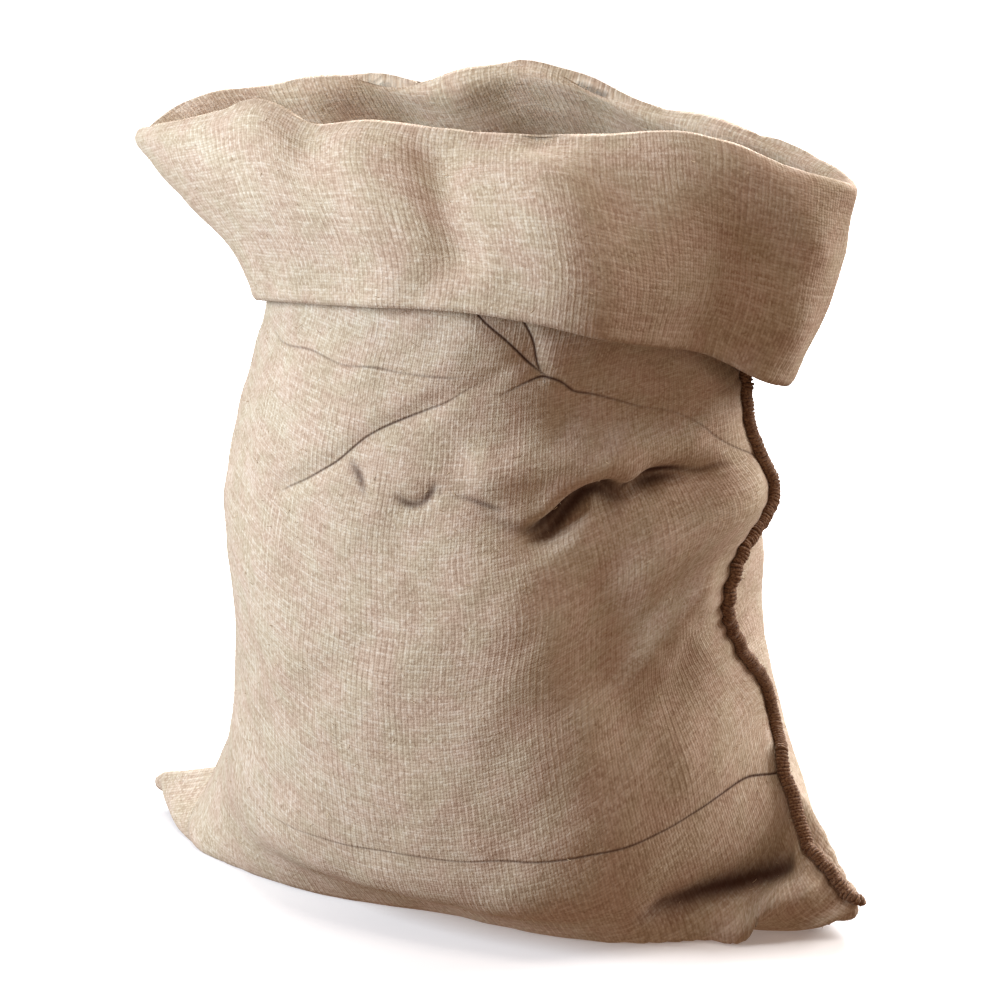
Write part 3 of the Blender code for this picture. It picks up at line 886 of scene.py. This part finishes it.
# --- the pieces
@dataclass
class SackCloth:
    """The cloth: base, panels and cuff in one piece, as a thin closed sheet."""

    WEAVE_MAP = "weave"
    BAKE_MAP = "OFBake"

    form: StandingForm
    wall: float = 1.6
    hem_wall: float = 3.0
    hem_reach: float = 9.0
    # The hem gets thicker over this length, and its lip is this share of the wall.
    hem_ramp: float = 4.0
    lip_share: float = 0.6
    crease_band: float = 9.0
    # Half widths from a crease's path to where its step is highest.
    step_reach: float = 1.6
    smooth_step: float = 5.0
    pucker_depth: float = 1.5
    pucker_reach: float = 20.0
    pucker_length: float = 17.0
    # Size, length and lag of the waves that keep the puckers from being even.
    pucker_drift: tuple[tuple[float, float, float], ...] = ((2.2, 31.0, 0.0), (1.3, 12.7, 1.0))
    # Mean, size, length and lag of their strength, which fades towards the mouth to the least.
    pucker_strength: tuple[float, float, float, float] = (0.55, 0.45, 43.0, 0.5)
    pucker_fade: float = 80.0
    least_pucker: float = 0.12
    # The fine slack grows from slack_start on, over slack_run, and is never under the least.
    slack_start: float = 60.0
    slack_run: float = 160.0
    least_slack: float = 0.15
    least_height: float = 0.2
    row_spacing: tuple[tuple[float, float], ...] = (
        (0, 3.5), (60, 4.4), (200, 4.8), (360, 4.2), (440, 3.3), (640, 3.3), (700, 4.6),
        (745, 3.6), (765, 1.8), (775, 1.8), (800, 4.0), (880, 4.8), (915, 3.0),
    )
    front_spacing: tuple[tuple[float, float], ...] = (
        (0, 3.0), (40, 4.6), (560, 4.4), (600, 3.0), (610, 2.5),
    )
    back_spacing: tuple[tuple[float, float], ...] = (
        (610, 2.5), (640, 5.0), (700, 9.5), (1120, 9.5), (1190, 6.0), (1220, 3.0),
    )

    def __post_init__(self) -> None:
        """Works out the sheet's rows and columns, its middle and its normals."""
        self.rows = graded(self.row_spacing)
        self.front = graded(self.front_spacing)
        self.back = graded(self.back_spacing)[1:-1]
        self.across = np.concatenate([self.front, self.back])
        middle = self.form.shaped(self.front, self.back, self.rows)
        low, high = middle.reshape(-1, 3).min(axis=0), middle.reshape(-1, 3).max(axis=0)
        centre = np.array(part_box("sack_cloth")).sum(axis=0) / 2.0 / MM
        self.shift = np.array([*(centre - (low + high) / 2.0)[:2], 0.0])
        middle += self.shift
        creased, self.layers = self.lay_creases()
        turned = np.where(self.rows > self.form.mouth_turn, -1.0, 1.0)[:, None]
        height = creased + self.puckers() * turned + self.slack() * turned
        middle += self.form.outward(middle) * height[..., None]
        middle[..., 2] = np.maximum(middle[..., 2], self.form.floor)
        self.middle = middle
        self.normals = self.form.outward(middle)

    def lay_creases(self) -> tuple[np.ndarray, dict[CreaseLayer, np.ndarray]]:
        """Lays the sharp creases on the flat cut.

        Returns:
            Heights of their troughs and steps, and what each crease attribute holds, as rows by
            columns by (distance, strength, line half width).
        """
        across, along = self.across[None, :], self.rows[:, None]
        shape = (len(self.rows), len(self.across))
        height = np.zeros(shape)
        nearest = {layer: np.full(shape, np.inf) for layer in CreaseLayer}
        held = {layer: np.zeros((*shape, 3)) for layer in CreaseLayer}
        for layer, half_width, depth, step, line, path in CREASES:
            distance, strength = self.form.to_path(across, along, self.smooth(path))
            share = distance / half_width
            peak = np.exp(0.5 - 0.5 * (share / self.step_reach) ** 2)
            lift = step * share * peak / self.step_reach
            height += strength * (lift - depth * gaussian(share))
            # The line stops at the band's edge, where the distance may change its sign.
            away = np.abs(distance)
            strength = np.where(away < self.crease_band + line, strength, 0.0)
            closer = away < nearest[layer]
            nearest[layer][closer] = away[closer]
            held[layer][closer, 0] = distance[closer]
            held[layer][closer, 1] = strength[closer]
            held[layer][closer, 2] = line
        return height, held

    def smooth(self, path: tuple[tuple[float, float, float], ...]) -> np.ndarray:
        """Reads a smooth curve through a path's points.

        Args:
            path: points by (across, along, strength).

        Returns:
            More such points, smooth_step apart.
        """
        points = np.array(path, float)
        steps = np.hypot(*np.diff(points[:, :2], axis=0).T)
        length = np.concatenate([[0.0], np.cumsum(steps)])
        at = np.linspace(0.0, length[-1], max(3, int(length[-1] / self.smooth_step) + 1))
        return np.stack([eased(length, column, at) for column in points.T], axis=-1)

    def puckers(self) -> np.ndarray:
        """The small gathers that the stitches pull in beside the side seam.

        Returns:
            Their heights, rows by columns.
        """
        away = np.abs(self.form.away_round(self.across, self.form.flat_width))[None, :]
        along = self.rows[:, None]
        drift = sum(size * np.sin(along / run + lag) for size, run, lag in self.pucker_drift)
        wave = np.sin(math.tau * along / self.pucker_length + drift)
        mean, size, run, lag = self.pucker_strength
        strength = mean + size * np.sin(along / run + lag)
        left = (self.form.mouth_turn - along) / self.pucker_fade
        strength = strength * np.clip(left, self.least_pucker, 1.0)
        return self.pucker_depth * wave * strength * np.exp(-away / self.pucker_reach)

    def slack(self) -> np.ndarray:
        """Heights of the cloth's fine slack, less of it on the floor."""
        across, along = self.across[None, :], self.rows[:, None]
        share = np.clip((along - self.slack_start) / self.slack_run, self.least_slack, 1.0)
        return self.form.wrinkles(across, along) * share

    def from_fold(self) -> np.ndarray:
        """Distances of the back's columns from the left fold, with both of its ends."""
        width = self.form.flat_width
        return np.array([0.0, *(2.0 * width - self.back[::-1]), width])

    def back_columns(self) -> list[int]:
        """Numbers of the back's columns, from the left fold to the seam."""
        seam = len(self.front) - 1
        return [0, *range(len(self.across) - 1, seam, -1), seam]

    def faces(self) -> Faces:
        """One skin, closed across the bottom between the front and the back panel.

        Returns:
            Its faces.
        """
        faces = loop_faces(len(self.rows), len(self.across))
        front, front_at = range(len(self.front)), self.front
        back, back_at = self.back_columns(), self.from_fold()
        i = j = 0
        while i < len(front) - 1 or j < len(back) - 1:
            step_front = j == len(back) - 1 or (
                i < len(front) - 1 and front_at[i + 1] <= back_at[j + 1]
            )
            corners = (front[i], back[j], front[i + 1] if step_front else back[j + 1])
            if len(set(corners)) == 3:
                faces.append(corners)
            i, j = (i + 1, j) if step_front else (i, j + 1)
        return faces

    def build(self, finish: JuteCloth) -> Object:
        """Makes the cloth's object.

        Args:
            finish: the cloth's finish.

        Returns:
            The closed sheet, with its maps and attributes.
        """
        columns = len(self.across)
        hem = self.rows - (self.form.flat_height - self.hem_reach)
        edge = np.clip(hem / self.hem_ramp, 0.0, 1.0)
        wall = self.wall + (self.hem_wall - self.wall) * edge * (3.0 - 2.0 * edge) * edge
        wall[-1] = self.wall * self.lip_share
        half = self.normals * (wall / 2.0)[:, None, None]
        outer = (self.middle + half).reshape(-1, 3)
        inner = (self.middle - half).reshape(-1, 3)
        count = len(outer)
        skin = self.faces()
        faces = skin + [tuple(point + count for point in reversed(face)) for face in skin]
        for here in range(count - columns, count):
            after = here + 1 if here + 1 < count else count - columns
            faces.append((here, after, after + count, here + count))
        points = np.concatenate([outer, inner]) * MM
        points[:, 2] = np.maximum(points[:, 2], self.least_height * MM)
        mesh = new_mesh("hessian_cloth", points, [], faces)
        self.map_cloth(mesh, count)
        for layer, held in self.layers.items():
            attribute = mesh.attributes.new(layer.value, "FLOAT_VECTOR", "POINT")
            both = np.concatenate([held.reshape(-1, 3)] * 2).astype(np.float32)
            attribute.data.foreach_set("vector", both.ravel())
        mesh.materials.append(finish.build())
        return new_object("hessian_cloth", mesh)

    def map_cloth(self, mesh: Mesh, count: int) -> None:
        """Lays the flat cut on the mesh, in millimetres for the weave and as a whole sheet.

        Args:
            mesh: the cloth's mesh, whose first count vertices are the outer skin.
            count: vertices in one skin.
        """
        corner = np.zeros(len(mesh.loops), np.int32)
        mesh.loops.foreach_get("vertex_index", corner)
        row, column = np.divmod(corner % count, len(self.across))
        across = self.across[column]
        start = np.zeros(len(mesh.polygons), np.int32)
        total = np.zeros(len(mesh.polygons), np.int32)
        mesh.polygons.foreach_get("loop_start", start)
        mesh.polygons.foreach_get("loop_total", total)
        # A face that closes the loop reaches from the last column back to the fold.
        face = np.repeat(np.arange(len(start)), total)
        far = np.maximum.reduceat(across, start)[face] - across > self.form.flat_width
        across = np.where(far, across + 2.0 * self.form.flat_width, across)
        places = np.stack([across, self.rows[row]], axis=-1).astype(np.float32)
        whole = np.array([2.0 * self.form.flat_width, self.form.flat_height], np.float32)
        for name, spread in ((self.BAKE_MAP, places / whole), (self.WEAVE_MAP, places)):
            layer = mesh.uv_layers.new(name=name, do_init=False)
            layer.uv.foreach_set("vector", spread.astype(np.float32).ravel())

    def seam_line(self, first: float, last: float) -> tuple[np.ndarray, ...]:
        """The cloth under the side seam.

        Args:
            first: where along the cloth the seam starts.
            last: where it ends.

        Returns:
            Places along, points and outward normals.
        """
        column = len(self.front) - 1
        kept = (self.rows >= first) & (self.rows <= last)
        return self.rows[kept], self.middle[kept, column], self.normals[kept, column]

    def bottom_line(self, inset: float) -> tuple[np.ndarray, ...]:
        """The cloth over the bottom seam.

        Args:
            inset: how far from the corners the seam's ridge stops.

        Returns:
            Places across, points and directions down.
        """
        places = self.front
        width = len(places)
        back_row = self.middle[0, self.back_columns()]
        back_even = [np.interp(places, self.from_fold(), line) for line in back_row.T]
        centre = (self.middle[0, :width] + np.stack(back_even, axis=-1)) / 2.0
        kept = (centre[:, 0] > centre[0, 0] + inset) & (centre[:, 0] < centre[-1, 0] - inset)
        down = np.tile([0.0, 0.0, -1.0], (int(kept.sum()), 1))
        return places[kept], centre[kept], down


class StitchInputs(Enum):
    """The named inputs of the overcasting tree, with their defaults in metres or as counts."""

    PITCH = ("Pitch", 0.0031)
    THREAD = ("Thread", 0.0022)
    TURN_STEPS = ("Steps per turn", 12)
    UNEVEN = ("Unevenness", 0.34)
    SEED = ("Seed", 5)


@dataclass
class OvercastSeam:
    """A seam ridge: the folded edges of the cloth, and twine wound closely over them."""

    name: str
    points: np.ndarray
    out: np.ndarray
    heights: np.ndarray
    widths: np.ndarray
    pitch: float = 2.4
    thread: float = 3.0
    seed: int = 5
    sides: int = 12
    rise: float = 0.8
    # How much of the ridge's height and width the edges inside the twine take up.
    edge_shares: tuple[float, float] = (0.84, 0.80)

    def centres(self) -> np.ndarray:
        """The middle of the ridge."""
        return self.points + self.out * (self.rise + self.heights / 2.0)[:, None]

    def build_edges(self, finish: JuteTwine) -> Object:
        """Makes the ridge of folded cloth edges inside the stitches.

        Args:
            finish: its finish.

        Returns:
            A closed tube of oval section.
        """
        sideways = unit(np.cross(self.out, unit(np.gradient(self.points, axis=0))))
        turn = np.arange(self.sides)[None, :, None] * math.tau / self.sides
        tall, wide = (share / 2.0 for share in self.edge_shares)
        up = np.cos(turn) * (self.heights * tall)[:, None, None] * self.out[:, None, :]
        aside = np.sin(turn) * (self.widths * wide)[:, None, None] * sideways[:, None, :]
        rings = self.centres()[:, None, :] + up + aside
        count = len(rings) * self.sides
        ends = [tuple(reversed(range(self.sides))), tuple(range(count - self.sides, count))]
        faces = loop_faces(len(rings), self.sides) + ends
        mesh = new_mesh(self.name + "_edges", rings.reshape(-1, 3) * MM, [], faces)
        mesh.materials.append(finish.build())
        make_faces_point_out(mesh)
        return new_object(mesh.name, mesh)

    def build_stitches(self, finish: JuteTwine) -> Object:
        """Makes the twine, one long winding along the ridge, with a Geometry Nodes tree.

        Args:
            finish: the twine's finish.

        Returns:
            The twine as a plain mesh.
        """
        links = [(step, step + 1) for step in range(len(self.points) - 1)]
        mesh = new_mesh(self.name + "_line", self.centres() * MM, links, [])
        for name, kind, field, values in (
            ("out", "FLOAT_VECTOR", "vector", self.out),
            ("half_height", "FLOAT", "value", self.heights * MM / 2.0),
            ("half_width", "FLOAT", "value", self.widths * MM / 2.0),
        ):
            attribute = mesh.attributes.new(name, kind, "POINT")
            attribute.data.foreach_set(field, np.asarray(values, np.float32).ravel())
        tree = overcasting_tree(self.name + "_overcasting", finish.build())
        values = {
            StitchInputs.PITCH: self.pitch * MM,
            StitchInputs.THREAD: self.thread * MM,
            StitchInputs.SEED: self.seed,
        }
        return made_by_tree(new_object(mesh.name, mesh), tree, values, self.name + "_stitches")


class FibreInputs(Enum):
    """The named inputs of the fibre tree, with their defaults in metres or as counts."""

    DENSITY = ("Fibres per square metre", 900.0)
    SHORTEST = ("Shortest", 0.0015)
    LONGEST = ("Longest", 0.010)
    THICKNESS = ("Thickness", 0.00022)
    LIE = ("Lie", 0.7)
    CLEAR = ("Clear of the floor", 0.006)
    SEED = ("Seed", 11)


@dataclass
class LooseFibres:
    """Short jute fibres that have worked loose and stand off the cloth or a seam."""

    name: str
    density: float
    longest: float
    seed: int = 11

    def build(self, ground: Object, finish: LooseJute) -> Object:
        """Makes the fibres with a Geometry Nodes tree.

        Args:
            ground: the piece that they stand on, which is kept.
            finish: their finish.

        Returns:
            The fibres as a plain mesh.
        """
        start = new_object(self.name + "_ground", ground.data)
        tree = fibre_tree(self.name + "_tree", finish.build())
        values = {
            FibreInputs.DENSITY: self.density,
            FibreInputs.LONGEST: self.longest * MM,
            FibreInputs.SEED: self.seed,
        }
        return made_by_tree(start, tree, values, self.name)


# --- the geometry trees
def new_geometry_tree(name: str, inputs: type[Enum]) -> NodeTree:
    """Makes an empty geometry tree with named inputs.

    Args:
        name: the tree's name.
        inputs: an Enum whose values are (name, default) pairs.

    Returns:
        The tree.
    """
    tree = bpy.data.node_groups.new(name, "GeometryNodeTree")
    tree.interface.new_socket("Geometry", in_out="INPUT", socket_type="NodeSocketGeometry")
    for given in inputs:
        label, default = given.value
        kind = "NodeSocketInt" if isinstance(default, int) else "NodeSocketFloat"
        tree.interface.new_socket(label, in_out="INPUT", socket_type=kind).default_value = default
    tree.interface.new_socket("Geometry", in_out="OUTPUT", socket_type="NodeSocketGeometry")
    return tree


def end_tree(tree: NodeTree, shape: NodeSocket, material: Material) -> NodeTree:
    """Ends a geometry tree: smooth shading, real geometry and the material.

    Args:
        tree: the tree.
        shape: the geometry that it has made.
        material: the material for it.

    Returns:
        The tree.
    """
    soft = add_node(tree, "GeometryNodeSetShadeSmooth", {"Geometry": shape})
    real = add_node(tree, "GeometryNodeRealizeInstances", {"Geometry": soft})
    dressed = add_node(tree, "GeometryNodeSetMaterial", {"Geometry": real, "Material": material})
    fill(tree.nodes.new("NodeGroupOutput"), {"Geometry": dressed})
    return tree


def fibre_tree(name: str, material: Material) -> NodeTree:
    """Makes the tree that scatters short curved fibres over a mesh.

    Args:
        name: the tree's name.
        material: the fibres' material.

    Returns:
        The tree.
    """
    tree = new_geometry_tree(name, FibreInputs)
    add = partial(add_node, tree)
    given = add("NodeGroupInput").node.outputs
    longest, seed = given["Longest"], given["Seed"]
    scatter = {"Mesh": given[0], "Density": given["Fibres per square metre"], "Seed": seed}
    spots = add("GeometryNodeDistributePointsOnFaces", scatter, distribute_method="RANDOM")
    # One fibre a unit long, which bows to one side on its way.
    bow = {"Start": (0.0, 0.0, 0.0), "Middle": (0.22, 0.0, 0.55), "End": (0.0, 0.12, 1.0)}
    bow = add("GeometryNodeCurveQuadraticBezier", {"Resolution": 4, **bow})
    slim = add(MATH, (given["Thickness"], longest), operation="DIVIDE")
    ring = add("GeometryNodeCurvePrimitiveCircle", {"Resolution": 3, "Radius": slim})
    fibre = {"Curve": bow, "Profile Curve": ring, "Fill Caps": True}
    fibre = add("GeometryNodeCurveToMesh", fibre)
    # It leans from the cloth's normal towards a chance direction.
    chance = {"Min": (-1.0, -1.0, -1.0), "Max": (1.0, 1.0, 1.0), "Seed": seed}
    chance = add(RANDOM, chance, data_type="FLOAT_VECTOR")
    away = {"Factor": given["Lie"], 4: spots.node.outputs["Normal"], 5: chance}
    away = add(MIX, away, out=1, data_type="VECTOR")
    turned = add("FunctionNodeAlignRotationToVector", {"Vector": away}, axis="Z")
    share = add(MATH, (given["Shortest"], longest), operation="DIVIDE")
    size = add(RANDOM, {2: share, 3: 1.0, "Seed": seed}, out=1)
    size = add(MATH, (size, longest), operation="MULTIPLY")
    # None stands where the cloth lies on the floor.
    place = add("GeometryNodeInputPosition")
    level = add("ShaderNodeSeparateXYZ", (place,), out="Z")
    clear = add(MATH, (level, given["Clear of the floor"]), operation="GREATER_THAN")
    placed = {
        "Points": spots, "Selection": clear, "Instance": fibre, "Rotation": turned, "Scale": size,
    }
    return end_tree(tree, add("GeometryNodeInstanceOnPoints", placed), material)


def overcasting_tree(name: str, material: Material) -> NodeTree:
    """Makes the tree that winds a thread round a line with out, half_height and half_width.

    Args:
        name: the tree's name.
        material: the thread's material.

    Returns:
        The tree.
    """
    tree = new_geometry_tree(name, StitchInputs)
    add = partial(add_node, tree)
    given = add("NodeGroupInput").node.outputs
    turn_steps = given["Steps per turn"]
    line = add("GeometryNodeMeshToCurve", {"Mesh": given[0]})
    length = add("GeometryNodeCurveLength", (line,))
    turns = add(MATH, (length, given["Pitch"]), operation="DIVIDE")
    steps = add(MATH, (turns, turn_steps), operation="MULTIPLY")
    even = add("GeometryNodeResampleCurve", {"Curve": line, "Count": steps}, mode="COUNT")
    index = add("GeometryNodeInputIndex")
    turned = add(MATH, (index, turn_steps), operation="DIVIDE")
    start = add(MATH, (given["Seed"], 100.0, turned), operation="MULTIPLY_ADD")
    noise = {"W": start, "Scale": 0.9, "Detail": 2.0}
    wobble = add(NOISE, noise, out="Fac", noise_dimensions="1D")
    loose = add(MATH, (wobble, -0.5), operation="ADD")
    size = add(MATH, (loose, given["Unevenness"], 1.0), operation="MULTIPLY_ADD")
    late = add(MATH, (loose, 0.6, turned), operation="MULTIPLY_ADD")
    angle = add(MATH, (late, math.tau), operation="MULTIPLY")
    held = "GeometryNodeInputNamedAttribute"
    out = add(held, {"Name": "out"}, data_type="FLOAT_VECTOR")
    tangent = add("GeometryNodeInputTangent")
    sideways = add(VECTOR, (out, tangent), operation="CROSS_PRODUCT")
    moves = []
    for direction, attribute, wave in (
        (out, "half_height", "COSINE"), (sideways, "half_width", "SINE"),
    ):
        reach = add(held, {"Name": attribute}, data_type="FLOAT")
        swing = add(MATH, (angle,), operation=wave)
        sized = add(MATH, (reach, size), operation="MULTIPLY")
        far = add(MATH, (sized, swing), operation="MULTIPLY")
        moves.append(add(VECTOR, {0: direction, "Scale": far}, operation="SCALE"))
    offset = add(VECTOR, (moves[0], moves[1]), operation="ADD")
    wound = add("GeometryNodeSetPosition", {"Geometry": even, "Offset": offset})
    radius = add(MATH, (given["Thread"], 0.5), operation="MULTIPLY")
    ring = add("GeometryNodeCurvePrimitiveCircle", {"Resolution": 7, "Radius": radius})
    thread = {"Curve": wound, "Profile Curve": ring, "Fill Caps": True}
    return end_tree(tree, add("GeometryNodeCurveToMesh", thread), material)


def made_by_tree(start: Object, tree: NodeTree, values: dict[Enum, float], name: str) -> Object:
    """Runs a geometry tree on an object, and keeps the result as a plain mesh.

    Args:
        start: the object that the tree works on, which is then removed.
        tree: the tree.
        values: the tree's inputs, by the Enum that names them.
        name: the new object's name.

    Returns:
        The new object.
    """
    modifier = start.modifiers.new(tree.name, "NODES")
    modifier.node_group = tree
    identifiers = {item.name: item.identifier for item in tree.interface.items_tree}
    for given, value in values.items():
        modifier[identifiers[given.value[0]]] = value
    graph = bpy.context.evaluated_depsgraph_get()
    mesh = bpy.data.meshes.new_from_object(start.evaluated_get(graph))
    mesh.name = name
    start.modifiers.remove(modifier)
    bpy.data.objects.remove(start, do_unlink=True)
    return new_object(name, mesh)


def make_faces_point_out(mesh: Mesh) -> None:
    """Turns faces outwards.

    Args:
        mesh: a closed mesh.
    """
    shape = bmesh.new()
    shape.from_mesh(mesh)
    bmesh.ops.recalc_face_normals(shape, faces=shape.faces)
    shape.to_mesh(mesh)
    shape.free()


# --- the studio
class Softbox(NamedTuple):
    """A soft lamp that hangs round the sack and points at its middle."""

    name: str
    azimuth: float
    elevation: float
    distance: float
    size: float
    power: float
    tint: str


@dataclass(frozen=True)
class Studio:
    """The pale floor, the soft lamps and the camera."""

    middle: Vector
    azimuth: float = 24.0
    elevation: float = 16.7
    distance: float = 3.13
    lens: float = 148.4
    sensor: float = 36.0
    shift: tuple[float, float] = (-0.002, 0.003)
    floor_size: float = 30.0
    glow: tuple[float, float] = (0.12, 1.0)
    glow_reach: tuple[float, float] = (0.35, 1.3)
    room_tint: str = "FFCFAE"
    room_light: float = 0.335
    lamps: tuple[Softbox, ...] = (
        Softbox("key_left", -52.0, 17.0, 2.3, 1.3, 83.0, "EAF6FF"),
        Softbox("rim_right", 130.0, 20.0, 2.3, 1.3, 45.0, "FFF8F2"),
        Softbox("fill_right", 84.0, 14.0, 2.3, 1.3, 2.5, "FFF4EA"),
        Softbox("back", 180.0, 35.0, 2.3, 1.3, 115.0, "FAFCFF"),
        Softbox("overhead", 10.0, 78.0, 2.6, 1.0, 18.0, "FFF6EC"),
    )

    def hang(self, name: str, data: bpy.types.ID, way: tuple[float, float, float]) -> Object:
        """Hangs a lamp or the camera round the sack, and points it at the sack's middle.

        Args:
            name: its name.
            data: the lamp or camera.
            way: azimuth, which is 0 in front of the sack, elevation and distance.

        Returns:
            Its object.
        """
        turn, rise = math.radians(way[0]), math.radians(way[1])
        flat = math.cos(rise)
        ray = Vector((math.sin(turn) * flat, -math.cos(turn) * flat, math.sin(rise)))
        holder = new_object(name, data)
        holder.location = self.middle + ray * way[2]
        holder.rotation_euler = ray.to_track_quat("Z", "Y").to_euler()
        return holder

    def build_floor(self) -> None:
        """Lays a matt white floor that reaches past the view."""
        half = self.floor_size / 2.0
        corners = np.array([(-1.0, -1.0, 0.0), (1.0, -1.0, 0.0), (1.0, 1.0, 0.0), (-1.0, 1.0, 0.0)])
        mesh = new_mesh("studio_floor", corners * half, [], [(0, 1, 2, 3)])
        # The lamps fade with distance, so the paper glows more the farther it is from the sack.
        material, add = new_material("white_paper")
        place = add("ShaderNodeTexCoord", out="Object")
        away = add(VECTOR, (place,), out="Value", operation="LENGTH")
        (near, far), (low, high) = self.glow_reach, self.glow
        glow = {"Value": away, "From Min": near, "From Max": far, "To Min": low, "To Max": high}
        look = {"Base Color": colour("F4F5F8"), "Roughness": 0.9, "Specular IOR Level": 0.1}
        light = {"Emission Color": colour("FFFFFF"), "Emission Strength": add(RANGE, glow)}
        mesh.materials.append(shaded(material, {**look, **light}))
        floor = new_object("studio_floor", mesh)
        # The paper shows, but throws no light back at the cloth.
        floor.visible_diffuse = False
        floor.visible_glossy = False

    def build_lamps(self) -> None:
        """Hangs the softboxes and sets the faint warm light from all round."""
        for name, azimuth, elevation, distance, size, power, tint in self.lamps:
            lamp = bpy.data.lights.new(name, "AREA")
            lamp.shape, lamp.size, lamp.energy = "DISK", size, power
            lamp.color = colour(tint)[:3]
            self.hang(name, lamp, (azimuth, elevation, distance))
        world = bpy.data.worlds.new("studio")
        world.use_nodes = True
        look = {"Color": colour(self.room_tint), "Strength": self.room_light}
        fill(world.node_tree.nodes["Background"], look)
        bpy.context.scene.world = world

    def build_camera(self) -> None:
        """Sets the camera up in front of the sack, a little to its right."""
        camera = bpy.data.cameras.new("camera")
        camera.lens, camera.sensor_width = self.lens, self.sensor
        camera.shift_x, camera.shift_y = self.shift
        way = (self.azimuth, self.elevation, self.distance)
        bpy.context.scene.camera = self.hang("camera", camera, way)
        bpy.context.scene.view_settings.view_transform = "Standard"

    def build(self) -> None:
        """Sets the whole studio up."""
        self.build_floor()
        self.build_lamps()
        self.build_camera()


# --- the sack
def attach(piece: Object, node: str) -> Object:
    """Ties a finished piece to the frame, and reports it.

    Args:
        piece: the piece.
        node: the plain node that it stands for.

    Returns:
        The piece.
    """
    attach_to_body(piece, ROOT)
    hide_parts(node)
    LOG.info("%s: %d faces", piece.name, len(piece.data.polygons))
    return piece


def seams(sack: SackCloth) -> tuple[OvercastSeam, OvercastSeam]:
    """Lays the two seams on the cloth.

    Args:
        sack: the cloth.

    Returns:
        The seam up the sack's right side and the seam under its base.
    """
    knots, *sizes = np.array(SIDE_RIDGE, float).T
    along, points, out = sack.seam_line(knots[0], knots[-1])
    ridge = (np.interp(along, knots, size) for size in sizes)
    side = OvercastSeam("side_seam", points, out, *ridge)
    _, points, out = sack.bottom_line(BOTTOM_INSET)
    ridge = (np.full(len(points), size) for size in (BOTTOM_HEIGHT, BOTTOM_WIDTH))
    return side, OvercastSeam("bottom_seam", points, out, *ridge, seed=9)


def main() -> None:
    """Builds each piece in turn."""
    logging.basicConfig(level=logging.INFO, format="%(name)s: %(message)s")
    sack = SackCloth(StandingForm())
    cloth = attach(sack.build(JuteCloth()), "sack_cloth")
    sewn = []
    for seam in seams(sack):
        edges = seam.build_edges(JuteTwine(seam.name + "_folded_edges", "5A3E2D", "94755B"))
        stitches = seam.build_stitches(JuteTwine(seam.name + "_jute_twine"))
        sewn += [attach(piece, seam.name) for piece in (edges, stitches)]
    for ground, name, node, slot, density, longest, tint in (
        (cloth, "cloth_fibres", "sack_cloth", "hessian", 2600.0, 4.5, "C9B598"),
        (sewn[1], "seam_fibres", "side_seam", "seam_thread", 16000.0, 3.6, "7E5E46"),
    ):
        finish = LooseJute(name + "_jute", tint)
        fibres = LooseFibres(name, density, longest).build(ground, finish)
        sewn.append(attach(fibres, node))

    Studio(Vector((sack.shift[0] * MM, sack.shift[1] * MM, VIEW_HEIGHT))).build()


if __name__ == "__main__":
    main()
